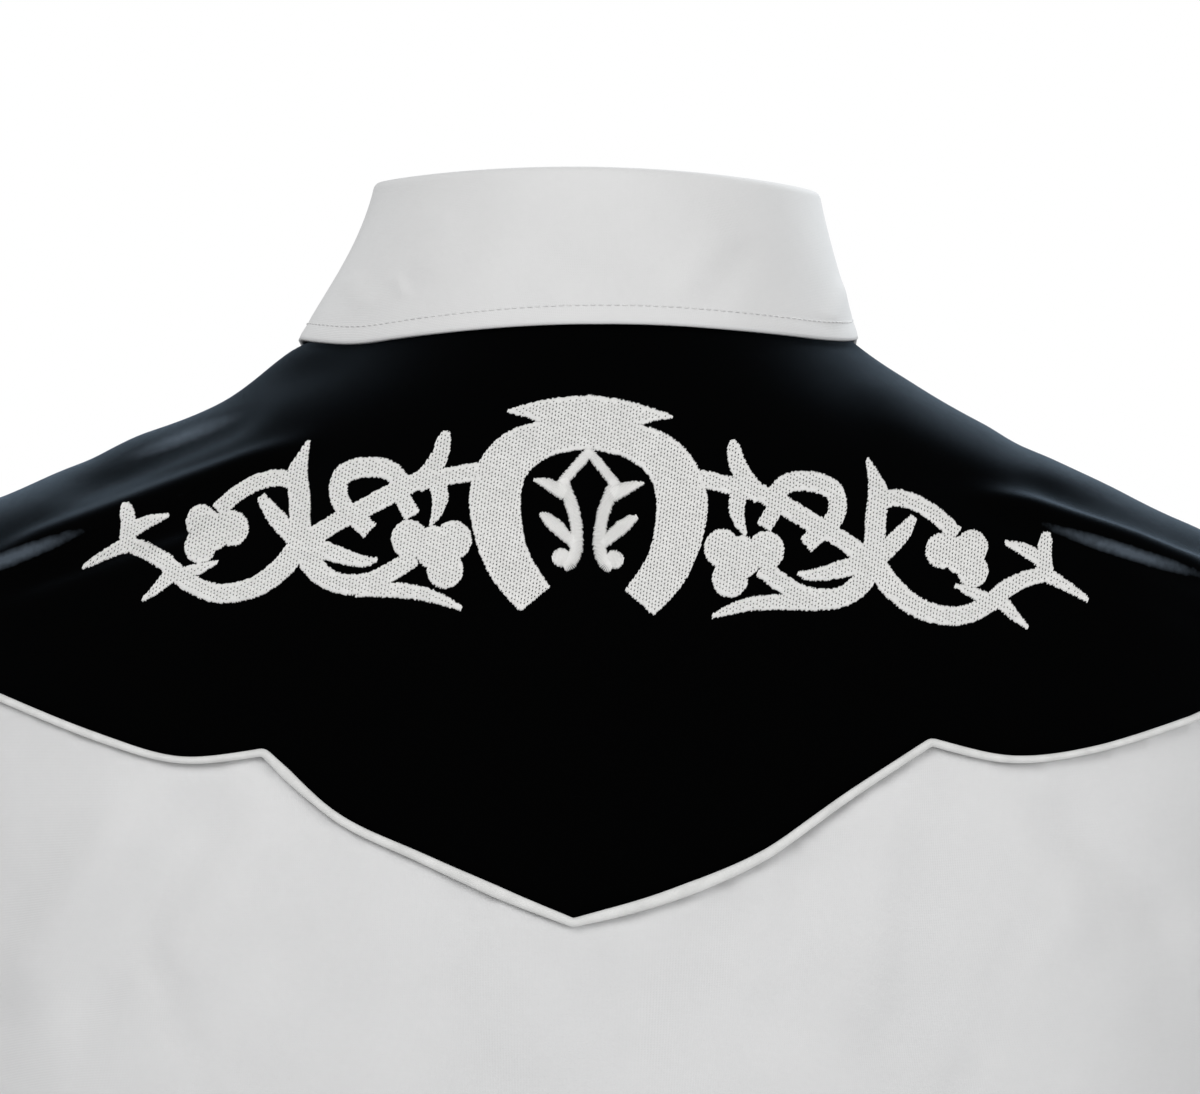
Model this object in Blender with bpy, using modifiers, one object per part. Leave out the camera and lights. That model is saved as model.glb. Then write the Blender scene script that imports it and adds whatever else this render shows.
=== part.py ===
"""A charro shirt in its worn form: hollow, closed, with the sleeves hanging a little away from the sides.

Units are metres and +Z is up. The front faces -Y, the wearer's left is +X, and the origin lies midway
between the two neck points, at the height where the collar band meets the shoulder seams.

Every piece of cloth is a wall on a surface that is worked out from sizes. The body is a stack of rounded
sections. A place on it is an angle (0 left side, 90 back, 180 right side, 270 front) and a row number.
"""
from collections import namedtuple
from math import acos, ceil, copysign, cos, degrees, exp, pi, radians, sin

import bpy
import numpy as np
from mathutils import Vector
from mathutils.geometry import delaunay_2d_cdt

# Cloth
WALL = 0.0012              # body and sleeve cloth
FIRM_WALL = 0.0016         # collar, cuffs and placket, which are two layers with interlining
SEAM_GAP = 0.0003          # between two pieces at a seam
LAYER_GAP = 0.0006         # under a piece that lies on another

# Body sections from the hem up: heights at the sides, back and front, half width, depths, squareness
TorsoRow = namedtuple("TorsoRow", "name z_side z_back z_front half_width back front square")
TORSO = (
    TorsoRow("hem", -0.665, -0.790, -0.770, 0.228, 0.128, 0.132, 2.3),
    TorsoRow("seat", -0.582, -0.680, -0.662, 0.226, 0.127, 0.133, 2.3),
    TorsoRow("hip", -0.502, -0.570, -0.554, 0.220, 0.122, 0.131, 2.3),
    TorsoRow("waist", -0.424, -0.462, -0.452, 0.214, 0.116, 0.130, 2.3),
    TorsoRow("rib", -0.350, -0.364, -0.362, 0.213, 0.118, 0.133, 2.3),
    TorsoRow("underarm", -0.285, -0.280, -0.288, 0.215, 0.123, 0.136, 2.4),
    TorsoRow("blade", -0.216, -0.205, -0.222, 0.220, 0.125, 0.132, 2.5),
    TorsoRow("upper", -0.148, -0.136, -0.162, 0.228, 0.119, 0.120, 2.5),
    TorsoRow("tip", -0.0895, -0.080, -0.112, 0.236, 0.107, 0.101, 2.3),
    TorsoRow("slope", -0.0590, -0.042, -0.083, 0.176, 0.092, 0.085, 2.15),
    TorsoRow("base", -0.0315, -0.011, -0.064, 0.115, 0.075, 0.074, 2.0),
    TorsoRow("neck", 0.004, 0.009, -0.050, 0.0695, 0.061, 0.067, 2.0),
)
ROW = {row.name: index for index, row in enumerate(TORSO)}
MEASURES = np.array([row[1:] for row in TORSO])
NECK = ROW["neck"]

# Large soft folds: a ridge (or a trough, where the height is below 0) from one x, z to another
Fold = namedtuple("Fold", "side x0 z0 x1 z1 height width")
BODY_FOLDS = (
    Fold("back", 0.072, -0.006, 0.208, -0.070, 0.0026, 0.016),
    Fold("back", -0.070, -0.006, -0.196, -0.094, 0.0028, 0.017),
    Fold("back", 0.120, -0.145, 0.180, -0.290, 0.0032, 0.024),
    Fold("back", -0.085, -0.160, -0.060, -0.330, 0.0028, 0.024),
    Fold("back", -0.135, -0.145, -0.185, -0.300, 0.0032, 0.024),
    Fold("back", 0.090, -0.420, 0.110, -0.820, 0.0070, 0.030),
    Fold("back", 0.000, -0.470, -0.010, -0.830, 0.0050, 0.032),
    Fold("back", -0.095, -0.400, -0.120, -0.820, 0.0075, 0.030),
    Fold("back", 0.050, -0.440, 0.052, -0.820, -0.0045, 0.024),
    Fold("back", -0.055, -0.450, -0.065, -0.820, -0.0045, 0.024),
    Fold("front", 0.105, -0.380, 0.120, -0.800, 0.0070, 0.030),
    Fold("front", 0.065, -0.440, 0.072, -0.800, -0.0040, 0.022),
    Fold("front", -0.100, -0.400, -0.128, -0.800, 0.0065, 0.030),
    Fold("front", -0.062, -0.430, -0.075, -0.800, -0.0040, 0.022),
    Fold("front", 0.170, -0.190, 0.100, -0.310, 0.0035, 0.024),
    Fold("front", -0.170, -0.185, -0.110, -0.320, 0.0035, 0.024),
)
FOLD_FADE = 0.25           # share of a fold's length over which each end fades out
FOLD_SIDE_FADE = 0.030     # distance over which the back's folds give way to the front's, at the sides
FOLD_SIDE_SHARE = 0.3      # share of a fold that is left halfway between back and front

# Armholes, as reach from the side seam in degrees, between the underarm row and the shoulder tip row
ARMHOLE_BACK_REACH = 29.0
ARMHOLE_FRONT_REACH = 34.0
ARMHOLE_SQUARE = 0.85      # under 1 makes the armhole fuller than an oval
YOKE_BACK_TURN = 0.105     # where the yoke's seams meet the armhole, in turns from the shoulder tip
YOKE_FRONT_TURN = 0.895
YOKE_FRONT_ANGLE = -42.0   # where the yoke's front seam meets the neckline

# The yoke's back seam as x and z: from its low point to a notch, and from there towards the armhole
SEAM_POINT = (0.0055, -0.1850)
LEFT_NOTCH = (0.1020, -0.1355)
RIGHT_NOTCH = (-0.1045, -0.1285)
LEFT_SEAM = (
    (SEAM_POINT, (0.028, -0.1765), (0.053, -0.1660), (0.079, -0.1545), LEFT_NOTCH),
    (LEFT_NOTCH, (0.128, -0.1390), (0.154, -0.1335), (0.187, -0.1230)),
)
RIGHT_SEAM = (
    (SEAM_POINT, (-0.022, -0.1770), (-0.052, -0.1640), (-0.079, -0.1450), RIGHT_NOTCH),
    (RIGHT_NOTCH, (-0.130, -0.1340), (-0.157, -0.1315), (-0.190, -0.1230)),
)

# Front closing
PLACKET_HALF_WIDTH = 0.016
PLACKET_COLUMNS = 4
UNDERLAP_EDGE = 0.013      # how far the right front runs on past the centre, under the placket
UNDERLAP_START = 0.0195    # where the right front dips under the placket
UNDERLAP_STEP = FIRM_WALL + 2 * LAYER_GAP
UNDERLAP_COLUMNS = 3

# Collar
STAND_HEIGHT_BACK = 0.033
STAND_HEIGHT_FRONT = 0.029
STAND_HEIGHT_END = 0.023
STAND_LEAN = 8.0           # degrees forward
STAND_LAP_ANGLE = 12.0     # how far each end of the band passes the centre front
STAND_LAP_STEP = FIRM_WALL + LAYER_GAP
STAND_LAP_START = -58.0    # angle from which the left end steps out over the right one
STAND_LAP_RUN = 26.0
LEAF_RISE = 0.0012         # straight stretch above the band, before the fold
LEAF_ROLL_RADIUS = 0.0030  # outer radius of the fold over the band
LEAF_ROLL_STEPS = 3
LEAF_ROLL_EXIT = 12.0      # degrees above level where the roll passes into the fall
LEAF_FALL_STEPS = 4
LEAF_TILT = 0.09           # in rows: how much lower the leaf's edge lies on the left, and higher on the right
# The leaf's lines from fold to outer edge, left half: angle on the band, then angle and row on the body
LeafLine = namedtuple("LeafLine", "fold_angle edge_angle edge_row")
LEAF_LINES = (
    LeafLine(-83.5, -73.5, 8.55),
    LeafLine(-66.0, -62.0, 9.20),
    LeafLine(-44.0, -43.0, 9.90),
    LeafLine(-22.0, -20.0, 10.33),
    LeafLine(0.0, 0.0, 10.47),
    LeafLine(22.0, 22.0, 10.43),
    LeafLine(45.0, 45.0, 10.38),
    LeafLine(67.0, 67.0, 10.33),
    LeafLine(90.0, 90.0, 10.31),
)
LEAF_TABLE = np.array(LEAF_LINES)

# Sleeves: rings along the arm from its joint, half sizes across and front to back, and forward bend
ARM_JOINT = np.array((0.208, 0.0, -0.060))
ARM_SPREAD = 19.0          # degrees out from straight down
HEAD_DROP = 27.0           # degrees below level in which the sleeve leaves the armhole
ARM_PROBE = 0.02           # stretch of the arm for the direction in which the head ends
SleeveRing = namedtuple("SleeveRing", "name along wide deep forward")
SLEEVE = (
    SleeveRing("upper_arm", 0.272, 0.062, 0.071, 0.000),
    SleeveRing("biceps", 0.330, 0.060, 0.067, 0.000),
    SleeveRing("elbow", 0.410, 0.058, 0.062, 0.003),
    SleeveRing("forearm", 0.490, 0.055, 0.058, 0.014),
    SleeveRing("fullness", 0.570, 0.053, 0.055, 0.031),
    SleeveRing("gather", 0.600, 0.047, 0.048, 0.038),
    SleeveRing("wrist", 0.615, 0.0405, 0.0405, 0.042),
)
RINGS = np.array([ring[1:] for ring in SLEEVE])
CUFF_HEIGHT = 0.065
CUFF_AXIS_REACH = 0.05     # stretch of the forearm whose direction the cuff carries on
CUFF_LAP_TURN = 0.07       # overlap of the cuff, in turns
CUFF_LAP_START = 0.85      # turn from which the end steps out over the start
CUFF_LAP_RUN = 0.14
CUFF_OPEN_TURN = 0.20      # where the cuff closes, towards the back of the arm
SleeveFold = namedtuple("SleeveFold", "turn along height width reach slope")
SLEEVE_FOLDS = (
    SleeveFold(0.72, 0.385, -0.0050, 0.013, 0.16, 0.05),
    SleeveFold(0.70, 0.430, -0.0060, 0.014, 0.18, -0.04),
    SleeveFold(0.75, 0.475, -0.0045, 0.013, 0.15, 0.06),
    SleeveFold(0.52, 0.340, -0.0040, 0.014, 0.13, -0.10),
    SleeveFold(0.20, 0.445, 0.0035, 0.018, 0.14, 0.08),
    SleeveFold(0.40, 0.530, 0.0035, 0.016, 0.14, -0.06),
)

# Trim
PIPING_RADIUS = 0.0014
PIPING_END_SHARE = 0.12    # share of its last stretch by which it stops short of the sleeve
BUTTON_RADIUS = 0.0057
BUTTON_THICKNESS = 0.0024
BUTTON_BEVEL = 0.0006
BUTTON_SIDES = 12
FRONT_BUTTON_ROWS = (1.55, 2.9, 4.15, 5.35, 6.75, 8.9)

# How places and directions on the body are worked out
PROBE_ANGLE = 0.5          # degrees and rows to either side for a direction
PROBE_ROW = 0.02
FIRST_GUESS_TURN = 200.0   # degrees for each metre across, about the blade row
FIRST_GUESS_ROW = 7.5
NEWTON_STEPS = 30
NEWTON_MISS = 1e-7
NEWTON_ANGLE = 0.05
NEWTON_ROW = 0.005
LONGEST_MOVE = np.array((12.0, 0.6))

# How finely each piece is divided
SIDE_STEPS = 14
ARMHOLE_PANEL_STEPS = 8
YOKE_BACK_STEPS = 4
YOKE_FRONT_STEPS = 3
NOTCH_STEPS = 10
TAIL_STEPS = 7
END_STEPS = 3
YOKE_SEAM_STEPS = 8
YOKE_NECK_STEPS = 34
FRONT_NECK_STEPS = 6
HEM_STEPS = 13
CELL = 0.022               # distance between the inner points of a panel
EDGE_MARGIN = 0.55         # their least distance from its outline, in cells
SHARPEST_MITER = 0.3       # holds back the inset at the sharpest corners of a panel
SHARP_ANGLE = 50.0         # degrees between faces from which an edge shows
GIRTH_PER_DEGREE = 0.0031
ROW_HEIGHT = 0.072
NECK_REACH = 0.065
COLLAR_STEPS = 44
SLEEVE_HEAD_STEPS = 6
SLEEVE_STEPS = 14
CUFF_STEPS = 24


def steps(start, end, count):
    """Evenly spaced values from start to end, both included."""
    return [start + (end - start) * i / count for i in range(count + 1)]


def smooth(value):
    """A soft step: 0 up to 0, 1 from 1 on."""
    value = min(max(value, 0.0), 1.0)
    return value * value * (3.0 - 2.0 * value)


def catmull_rom(table, position):
    """The smooth curve through a table's rows, at a row position."""
    last = len(table) - 1
    position = min(max(position, 0.0), float(last))
    i = min(int(position), last - 1)
    t = position - i
    a, b, c, d = (table[max(i - 1, 0)], table[i], table[i + 1], table[min(i + 2, last)])
    return 0.5 * (2 * b + (c - a) * t + (2 * a - 5 * b + 4 * c - d) * t ** 2 + (3 * b - a - 3 * c + d) * t ** 3)


def straight(start, end, count):
    """Evenly spaced places from one to another, both included."""
    return [tuple(np.array(start) + (np.array(end) - np.array(start)) * t) for t in steps(0.0, 1.0, count)]


def unit(vector):
    """The vector at length 1."""
    return vector / np.linalg.norm(vector)


# Body surface

def plain_point(angle, row):
    """A point on the body before folds."""
    z_side, z_back, z_front, half_width, back, front, square = catmull_rom(MEASURES, row)
    across, along = cos(radians(angle)), sin(radians(angle))
    depth, z_middle = (back, z_back) if along >= 0 else (front, z_front)
    power = 2.0 / square
    x = half_width * copysign(abs(across) ** power, across)
    y = depth * copysign(abs(along) ** power, along)
    z = z_side * across ** 2 + z_middle * along ** 2
    return np.array((x, y, z))


def body_normal(angle, row):
    """The body's outward direction at a place."""
    low, high = max(row - PROBE_ROW, 0.0), min(row + PROBE_ROW, float(NECK))
    around = plain_point(angle + PROBE_ANGLE, row) - plain_point(angle - PROBE_ANGLE, row)
    up = plain_point(angle, high) - plain_point(angle, low)
    return unit(np.cross(around, up))


def fold_height(point):
    """How far the folds lift the cloth at a point of the body."""
    x, y, z = point
    total = 0.0
    for fold in BODY_FOLDS:
        toward = y if fold.side == "back" else -y
        run_x, run_z = fold.x1 - fold.x0, fold.z1 - fold.z0
        length = (run_x ** 2 + run_z ** 2) ** 0.5
        along = ((x - fold.x0) * run_x + (z - fold.z0) * run_z) / length ** 2
        across = ((x - fold.x0) * run_z - (z - fold.z0) * run_x) / length
        ends = smooth(along / FOLD_FADE) * smooth((1.0 - along) / FOLD_FADE)
        near = smooth(toward / FOLD_SIDE_FADE + FOLD_SIDE_SHARE)
        total += fold.height * exp(-(across / fold.width) ** 2) * ends * near
    return total


def body_point(angle, row, out=0.0):
    """A point on the shirt's outer face, or out from it."""
    point = plain_point(angle, row)
    return point + body_normal(angle, row) * (fold_height(point) + out)


def place_on_back(x, z):
    """The place on the back whose x and z are these, by Newton's steps."""
    place = np.array((90.0 - FIRST_GUESS_TURN * x, FIRST_GUESS_ROW))
    for _ in range(NEWTON_STEPS):
        here = plain_point(*place)
        miss = np.array((x - here[0], z - here[2]))
        if np.abs(miss).max() < NEWTON_MISS:
            break
        by_angle = (plain_point(place[0] + NEWTON_ANGLE, place[1]) - here) / NEWTON_ANGLE
        by_row = (plain_point(place[0], place[1] + NEWTON_ROW) - here) / NEWTON_ROW
        slopes = np.array(((by_angle[0], by_row[0]), (by_angle[2], by_row[2])))
        move = np.linalg.solve(slopes, miss)
        place += np.clip(move, -LONGEST_MOVE, LONGEST_MOVE)
    return tuple(place)


def angle_at_x(x, row):
    """The angle on the front whose x is this, at a row."""
    _, _, _, half_width, _, _, square = catmull_rom(MEASURES, row)
    return -degrees(acos(copysign((abs(x) / half_width) ** (square / 2.0), x)))


# Seam lines, as lists of places

def armhole_place(turn):
    """A place on the left armhole; turns go from the shoulder tip over the back to the underarm."""
    swing = 2 * pi * turn
    middle = (ROW["tip"] + ROW["underarm"]) / 2.0
    half = (ROW["tip"] - ROW["underarm"]) / 2.0
    reach = ARMHOLE_BACK_REACH if sin(swing) > 0 else ARMHOLE_FRONT_REACH
    angle = reach * copysign(abs(sin(swing)) ** ARMHOLE_SQUARE, sin(swing))
    return (angle, middle + half * cos(swing))


def mirrored(places):
    """The same places on the wearer's right."""
    return [(180.0 - angle, row) for angle, row in places]


def smooth_run(points, count):
    """Places on the back along a smooth line through x, z points."""
    table = np.array(points)
    return [place_on_back(*catmull_rom(table, at)) for at in steps(0, len(points) - 1, count)]


def half_seam(lines, armhole_end):
    """One half of the yoke's back seam, from its low point out to the armhole."""
    inner = smooth_run(lines[0], NOTCH_STEPS)
    outer = smooth_run(lines[1], TAIL_STEPS)
    return inner + outer[1:] + straight(outer[-1], armhole_end, END_STEPS)[1:]


def back_seam():
    """The yoke's back seam, from the left armhole over its low point to the right armhole."""
    end = armhole_place(YOKE_BACK_TURN)
    left = half_seam(LEFT_SEAM, end)
    return left[::-1] + half_seam(RIGHT_SEAM, mirrored([end])[0])[1:]


# Panels: an outline of places, filled with evenly spaced ones

def flat_panel(angle, row):
    """A rough flat map of the body below the shoulders, in metres."""
    return angle * GIRTH_PER_DEGREE, row * ROW_HEIGHT


def flat_yoke(angle, row):
    """A rough flat map of the shoulders, laid open round the neck."""
    reach = NECK_REACH + (NECK - row) * ROW_HEIGHT
    return reach * cos(radians(angle)), reach * sin(radians(angle))


def is_inside(point, outline, margin):
    """Whether a flat point is inside a closed outline, and at least a margin away from it."""
    after = np.roll(outline, -1, axis=0)
    run = after - outline
    share = ((point - outline) * run).sum(axis=1) / (run ** 2).sum(axis=1)
    nearest = outline + run * np.clip(share, 0.0, 1.0)[:, None]
    if np.linalg.norm(nearest - point, axis=1).min() < margin:
        return False
    crosses = (outline[:, 1] > point[1]) != (after[:, 1] > point[1])
    rise = np.where(crosses, run[:, 1], 1.0)
    left_of = point[0] < outline[:, 0] + (point[1] - outline[:, 1]) * run[:, 0] / rise
    return bool(np.sum(crosses & left_of) % 2)


def fill(outline, flatten):
    """Evenly spaced places inside an outline, in staggered lines."""
    flat = np.array([flatten(*place) for place in outline])
    table = np.array(outline)
    low_angle, low_row = table.min(axis=0)
    high_angle, high_row = table.max(axis=0)
    inner = []
    count = ceil((high_row - low_row) * ROW_HEIGHT / CELL)
    for number, row in enumerate(steps(low_row, high_row, count)):
        _, _, _, half_width, back, _, _ = catmull_rom(MEASURES, row)
        step = degrees(CELL / ((half_width ** 2 + back ** 2) / 2.0) ** 0.5)
        for angle in np.arange(low_angle + step * (number % 2) / 2.0, high_angle, step):
            if is_inside(np.array(flatten(angle, row)), flat, CELL * EDGE_MARGIN):
                inner.append((angle, row))
    return inner


def panel(outline, flatten, kept=()):
    """Points, normals and triangles of a panel; its outline moves in by half a seam gap."""
    places = list(outline) + fill(outline, flatten)
    flat = [Vector(flatten(*place)) for place in places]
    result = delaunay_2d_cdt(flat, [], [list(range(len(outline)))], 1, 1e-7)
    order = [sources[0] for sources in result[3]]
    faces = [tuple(order[index] for index in face) for face in result[2]]
    points = [body_point(*place) for place in places]
    normals = [body_normal(*place) for place in places]
    edge = points[:len(outline)]
    for i, normal in enumerate(normals[:len(outline)]):
        if i not in kept:
            before = unit(np.cross(normal, edge[i] - edge[i - 1]))
            after = unit(np.cross(normal, edge[(i + 1) % len(edge)] - edge[i]))
            miter = (before + after) / max(1.0 + np.dot(before, after), SHARPEST_MITER)
            points[i] = edge[i] + miter * SEAM_GAP / 2.0
    return points, normals, faces


# Building

def pull_back(grid):
    """Move a grid's first column and its last row in by half a seam gap."""
    result = grid.copy()
    sides = ((grid[:, 0], grid[:, 1], result[:, 0]), (grid[-1], grid[-2], result[-1]))
    for edge, inner, target in sides:
        inward = inner - edge
        inward /= np.linalg.norm(inward, axis=1)[:, None]
        target += inward * SEAM_GAP / 2.0
    return result


def material(name, colour, roughness):
    """A plain finish for one kind of piece."""
    finish = bpy.data.materials.new(name)
    finish.use_nodes = True
    shader = finish.node_tree.nodes["Principled BSDF"]
    shader.inputs["Base Color"].default_value = (*colour, 1.0)
    shader.inputs["Roughness"].default_value = roughness
    shader.inputs["Metallic"].default_value = 0.0
    finish.diffuse_color = (*colour, 1.0)
    return finish


def add_object(name, data, finish):
    """Put a new object in the shirt's collection."""
    data.materials.append(finish)
    piece = bpy.data.objects.new(name, data)
    bpy.data.collections["charro_shirt"].objects.link(piece)
    return piece


def panel_wall(name, points, normals, faces, wall, finish):
    """A panel with its wall inwards; normals shared at a seam keep the two walls apart all through."""
    count = len(points)
    inner = [point - normal * wall for point, normal in zip(points, normals)]
    edges = {(face[i - 1], face[i]) for face in faces for i in range(len(face))}
    rims = [(b, a, a + count, b + count) for a, b in edges if (b, a) not in edges]
    backs = [tuple(index + count for index in face[::-1]) for face in faces]
    mesh = bpy.data.meshes.new(name)
    mesh.from_pydata([tuple(point) for point in list(points) + inner], [], faces + backs + sorted(rims))
    mesh.shade_smooth()
    mesh.set_sharp_from_angle(angle=radians(SHARP_ANGLE))
    return add_object(name, mesh, finish)


def cloth(name, grid, wall, finish, inside, closed=False):
    """A wall of cloth on a grid of points of its outer face; inside is a point behind it."""
    rows, columns = grid.shape[:2]
    points = grid.reshape(-1, 3)
    reach = columns if closed else columns - 1
    faces = []
    for r in range(rows - 1):
        for c in range(reach):
            near, far = r * columns + c, r * columns + (c + 1) % columns
            faces.append((near, far, far + columns, near + columns))
    probe = points[list(faces[-1 - reach // 2])]
    normal = np.cross(probe[1] - probe[0], probe[3] - probe[0])
    if np.dot(normal, probe[0] - np.array(inside)) < 0:
        faces = [face[::-1] for face in faces]
    mesh = bpy.data.meshes.new(name)
    mesh.from_pydata([tuple(point) for point in points], [], faces)
    mesh.shade_smooth()
    piece = add_object(name, mesh, finish)
    shell = piece.modifiers.new("wall", "SOLIDIFY")
    shell.thickness = wall
    shell.offset = -1.0
    shell.use_even_offset = True
    shell.use_quality_normals = True
    return piece


def build_back(finish):
    """The white back below the yoke, with its rounded hem."""
    seam = back_seam()
    side = [(0.0, row) for row in steps(0.0, ROW["underarm"], SIDE_STEPS)]
    hole = [armhole_place(turn) for turn in steps(0.5, YOKE_BACK_TURN, ARMHOLE_PANEL_STEPS)]
    left = side + hole[1:]
    hem = [(angle, 0.0) for angle in steps(0.0, 180.0, 2 * HEM_STEPS)]
    outline = hem[:-1] + mirrored(left) + seam[::-1][1:] + left[:-1][::-1][:-1]
    panel_wall("back", *panel(outline, flat_panel), WALL, finish)


def front_seam():
    """The yoke's left front seam, from the armhole to the neckline."""
    return straight(armhole_place(YOKE_FRONT_TURN), (YOKE_FRONT_ANGLE, float(NECK)), YOKE_SEAM_STEPS)


def edge_rows():
    """Rows at which the fronts and the placket have their points along the centre front."""
    rows = steps(0.0, ROW["underarm"], SIDE_STEPS)
    return rows + steps(ROW["underarm"], NECK, ARMHOLE_PANEL_STEPS)[1:]


def front_outline(edge_x):
    """The outline of a front whose edge runs at this x, on the wearer's left, with the edge last."""
    edge = [(angle_at_x(edge_x, row), row) for row in edge_rows()]
    hem = straight(edge[0], (0.0, 0.0), HEM_STEPS)
    side = [(0.0, row) for row in steps(0.0, ROW["underarm"], SIDE_STEPS)]
    hole = [armhole_place(turn) for turn in steps(0.5, YOKE_FRONT_TURN, ARMHOLE_PANEL_STEPS)]
    neckline = straight((YOKE_FRONT_ANGLE, float(NECK)), edge[-1], FRONT_NECK_STEPS)
    return hem[1:] + side[1:] + hole[1:] + front_seam()[1:] + neckline[1:-1] + edge[::-1]


def build_fronts(finish):
    """The two fronts; the right one runs on under the placket."""
    panel_wall("front_left", *panel(front_outline(PLACKET_HALF_WIDTH), flat_panel), WALL, finish)

    outline = mirrored(front_outline(UNDERLAP_START))[::-1]
    rows = edge_rows()
    points, normals, faces = panel(outline, flat_panel, kept=range(len(rows)))
    last = list(range(len(rows)))
    for x in steps(-PLACKET_HALF_WIDTH - LAYER_GAP, UNDERLAP_EDGE, UNDERLAP_COLUMNS):
        line = list(range(len(points), len(points) + len(rows)))
        points += [body_point(angle_at_x(x, row), row, -UNDERLAP_STEP) for row in rows]
        normals += [body_normal(angle_at_x(x, row), row) for row in rows]
        faces += [(last[i], line[i], line[i + 1], last[i + 1]) for i in range(len(rows) - 1)]
        last = line
    panel_wall("front_right", points, normals, faces, WALL, finish)


def build_placket(finish):
    """The button band down the left front."""
    across = steps(PLACKET_HALF_WIDTH, -PLACKET_HALF_WIDTH, PLACKET_COLUMNS)
    grid = np.array([[body_point(angle_at_x(x, row), row) for x in across] for row in edge_rows()])
    cloth("placket", pull_back(grid), FIRM_WALL, finish, (0, 0, grid[-1, 0, 2]))


def build_yoke(finish):
    """The yoke, in one piece over both shoulders."""
    front = [armhole_place(turn) for turn in steps(YOKE_FRONT_TURN, 1.0, YOKE_FRONT_STEPS)]
    over = [armhole_place(turn) for turn in steps(0.0, YOKE_BACK_TURN, YOKE_BACK_STEPS)]
    seam = back_seam()
    left = front + over[1:]
    outer = left[:-1] + seam + mirrored(left[:-1])[::-1]
    neckline = straight((180.0 - YOKE_FRONT_ANGLE, NECK), (YOKE_FRONT_ANGLE, NECK), YOKE_NECK_STEPS)
    outline = outer + mirrored(front_seam())[1:] + neckline[1:] + front_seam()[::-1][1:-1]
    panel_wall("yoke", *panel(outline, flat_yoke), WALL, finish)


def build_piping(finish):
    """A round cord just above the yoke's back seam."""
    line = [body_point(angle, row, SEAM_GAP + PIPING_RADIUS) for angle, row in back_seam()]
    for end, inner in ((0, 1), (-1, -2)):
        line[end] += (line[inner] - line[end]) * PIPING_END_SHARE
    curve = bpy.data.curves.new("piping", "CURVE")
    curve.dimensions = "3D"
    curve.bevel_depth = PIPING_RADIUS
    curve.bevel_resolution = 2
    curve.use_fill_caps = True
    spline = curve.splines.new("POLY")
    spline.points.add(len(line) - 1)
    for point, place in zip(spline.points, line):
        point.co = (*place, 1.0)
    add_object("piping", curve, finish)


# Collar

def stand_height(angle):
    """Height of the collar band; angles past the centre front are on its lapped ends."""
    from_back = abs(angle - 90.0)
    height = STAND_HEIGHT_BACK + (STAND_HEIGHT_FRONT - STAND_HEIGHT_BACK) * smooth(from_back / 180.0)
    past = max(from_back - 180.0 + STAND_LAP_ANGLE * 0.5, 0.0) / (STAND_LAP_ANGLE * 1.5)
    return height + (STAND_HEIGHT_END - STAND_HEIGHT_FRONT) * past ** 2


def neck_frame(angle):
    """Base point, outward direction and up direction of the collar band; its left end laps over."""
    across, along = cos(radians(angle)), sin(radians(angle))
    row = TORSO[NECK]
    depth = row.back if along >= 0 else row.front
    up = np.array((0.0, -sin(radians(STAND_LEAN)), cos(radians(STAND_LEAN))))
    level = np.array((across / row.half_width, along / depth, 0.0))
    out = unit(level - up * np.dot(level, up))
    lap = STAND_LAP_STEP * smooth((STAND_LAP_START - angle) / STAND_LAP_RUN)
    return plain_point(angle, NECK) + up * LAYER_GAP + out * lap, out, up


def build_stand(finish):
    """The band that carries the collar."""
    grid = []
    for share in steps(0.0, 1.0, 2):
        line = []
        for angle in steps(-90.0 - STAND_LAP_ANGLE, 270.0 + STAND_LAP_ANGLE, COLLAR_STEPS):
            base, _, up = neck_frame(angle)
            line.append(base + up * stand_height(angle) * share)
        grid.append(line)
    cloth("collar_stand", np.array(grid), FIRM_WALL, finish, (0, 0, 0.0))


def leaf_line(share):
    """Fold angle and outer edge place of a line of the leaf; share 0 is the left point, 1 the right."""
    half = len(LEAF_TABLE) - 1
    fold, angle, row = catmull_rom(LEAF_TABLE, (1.0 - abs(2.0 * share - 1.0)) * half)
    if share > 0.5:
        fold, angle = 180.0 - fold, 180.0 - angle
    return fold, angle, row - LEAF_TILT * cos(radians(angle))


def leaf_points(share):
    """Points on the leaf's upper face, from the band's top over the fold to the outer edge."""
    fold, angle, row = leaf_line(share)
    base, out, up = neck_frame(fold)
    start = base + up * (stand_height(fold) + LAYER_GAP) - out * FIRM_WALL
    centre = start + up * LEAF_RISE + out * LEAF_ROLL_RADIUS
    points = [start]
    for swing in steps(180.0, LEAF_ROLL_EXIT, LEAF_ROLL_STEPS):
        points.append(centre + (out * cos(radians(swing)) + up * sin(radians(swing))) * LEAF_ROLL_RADIUS)
    start = points[-1]
    edge = body_point(angle, row, FIRM_WALL + LAYER_GAP)
    reach = np.linalg.norm(edge - start)
    leave = (out * sin(radians(LEAF_ROLL_EXIT)) - up * cos(radians(LEAF_ROLL_EXIT))) * reach
    arrive = edge - start
    for t in steps(0.0, 1.0, LEAF_FALL_STEPS)[1:]:
        points.append((2 * t ** 3 - 3 * t ** 2 + 1) * start + (t ** 3 - 2 * t ** 2 + t) * leave
                      + (3 * t ** 2 - 2 * t ** 3) * edge + (t ** 3 - t ** 2) * arrive)
    return points


def build_leaf(finish):
    """The fold-down collar."""
    lines = [leaf_points(share) for share in steps(0.0, 1.0, COLLAR_STEPS)]
    cloth("collar_leaf", np.array(lines).transpose(1, 0, 2), FIRM_WALL, finish, (0, 0, 0.0))


# Sleeves

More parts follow.
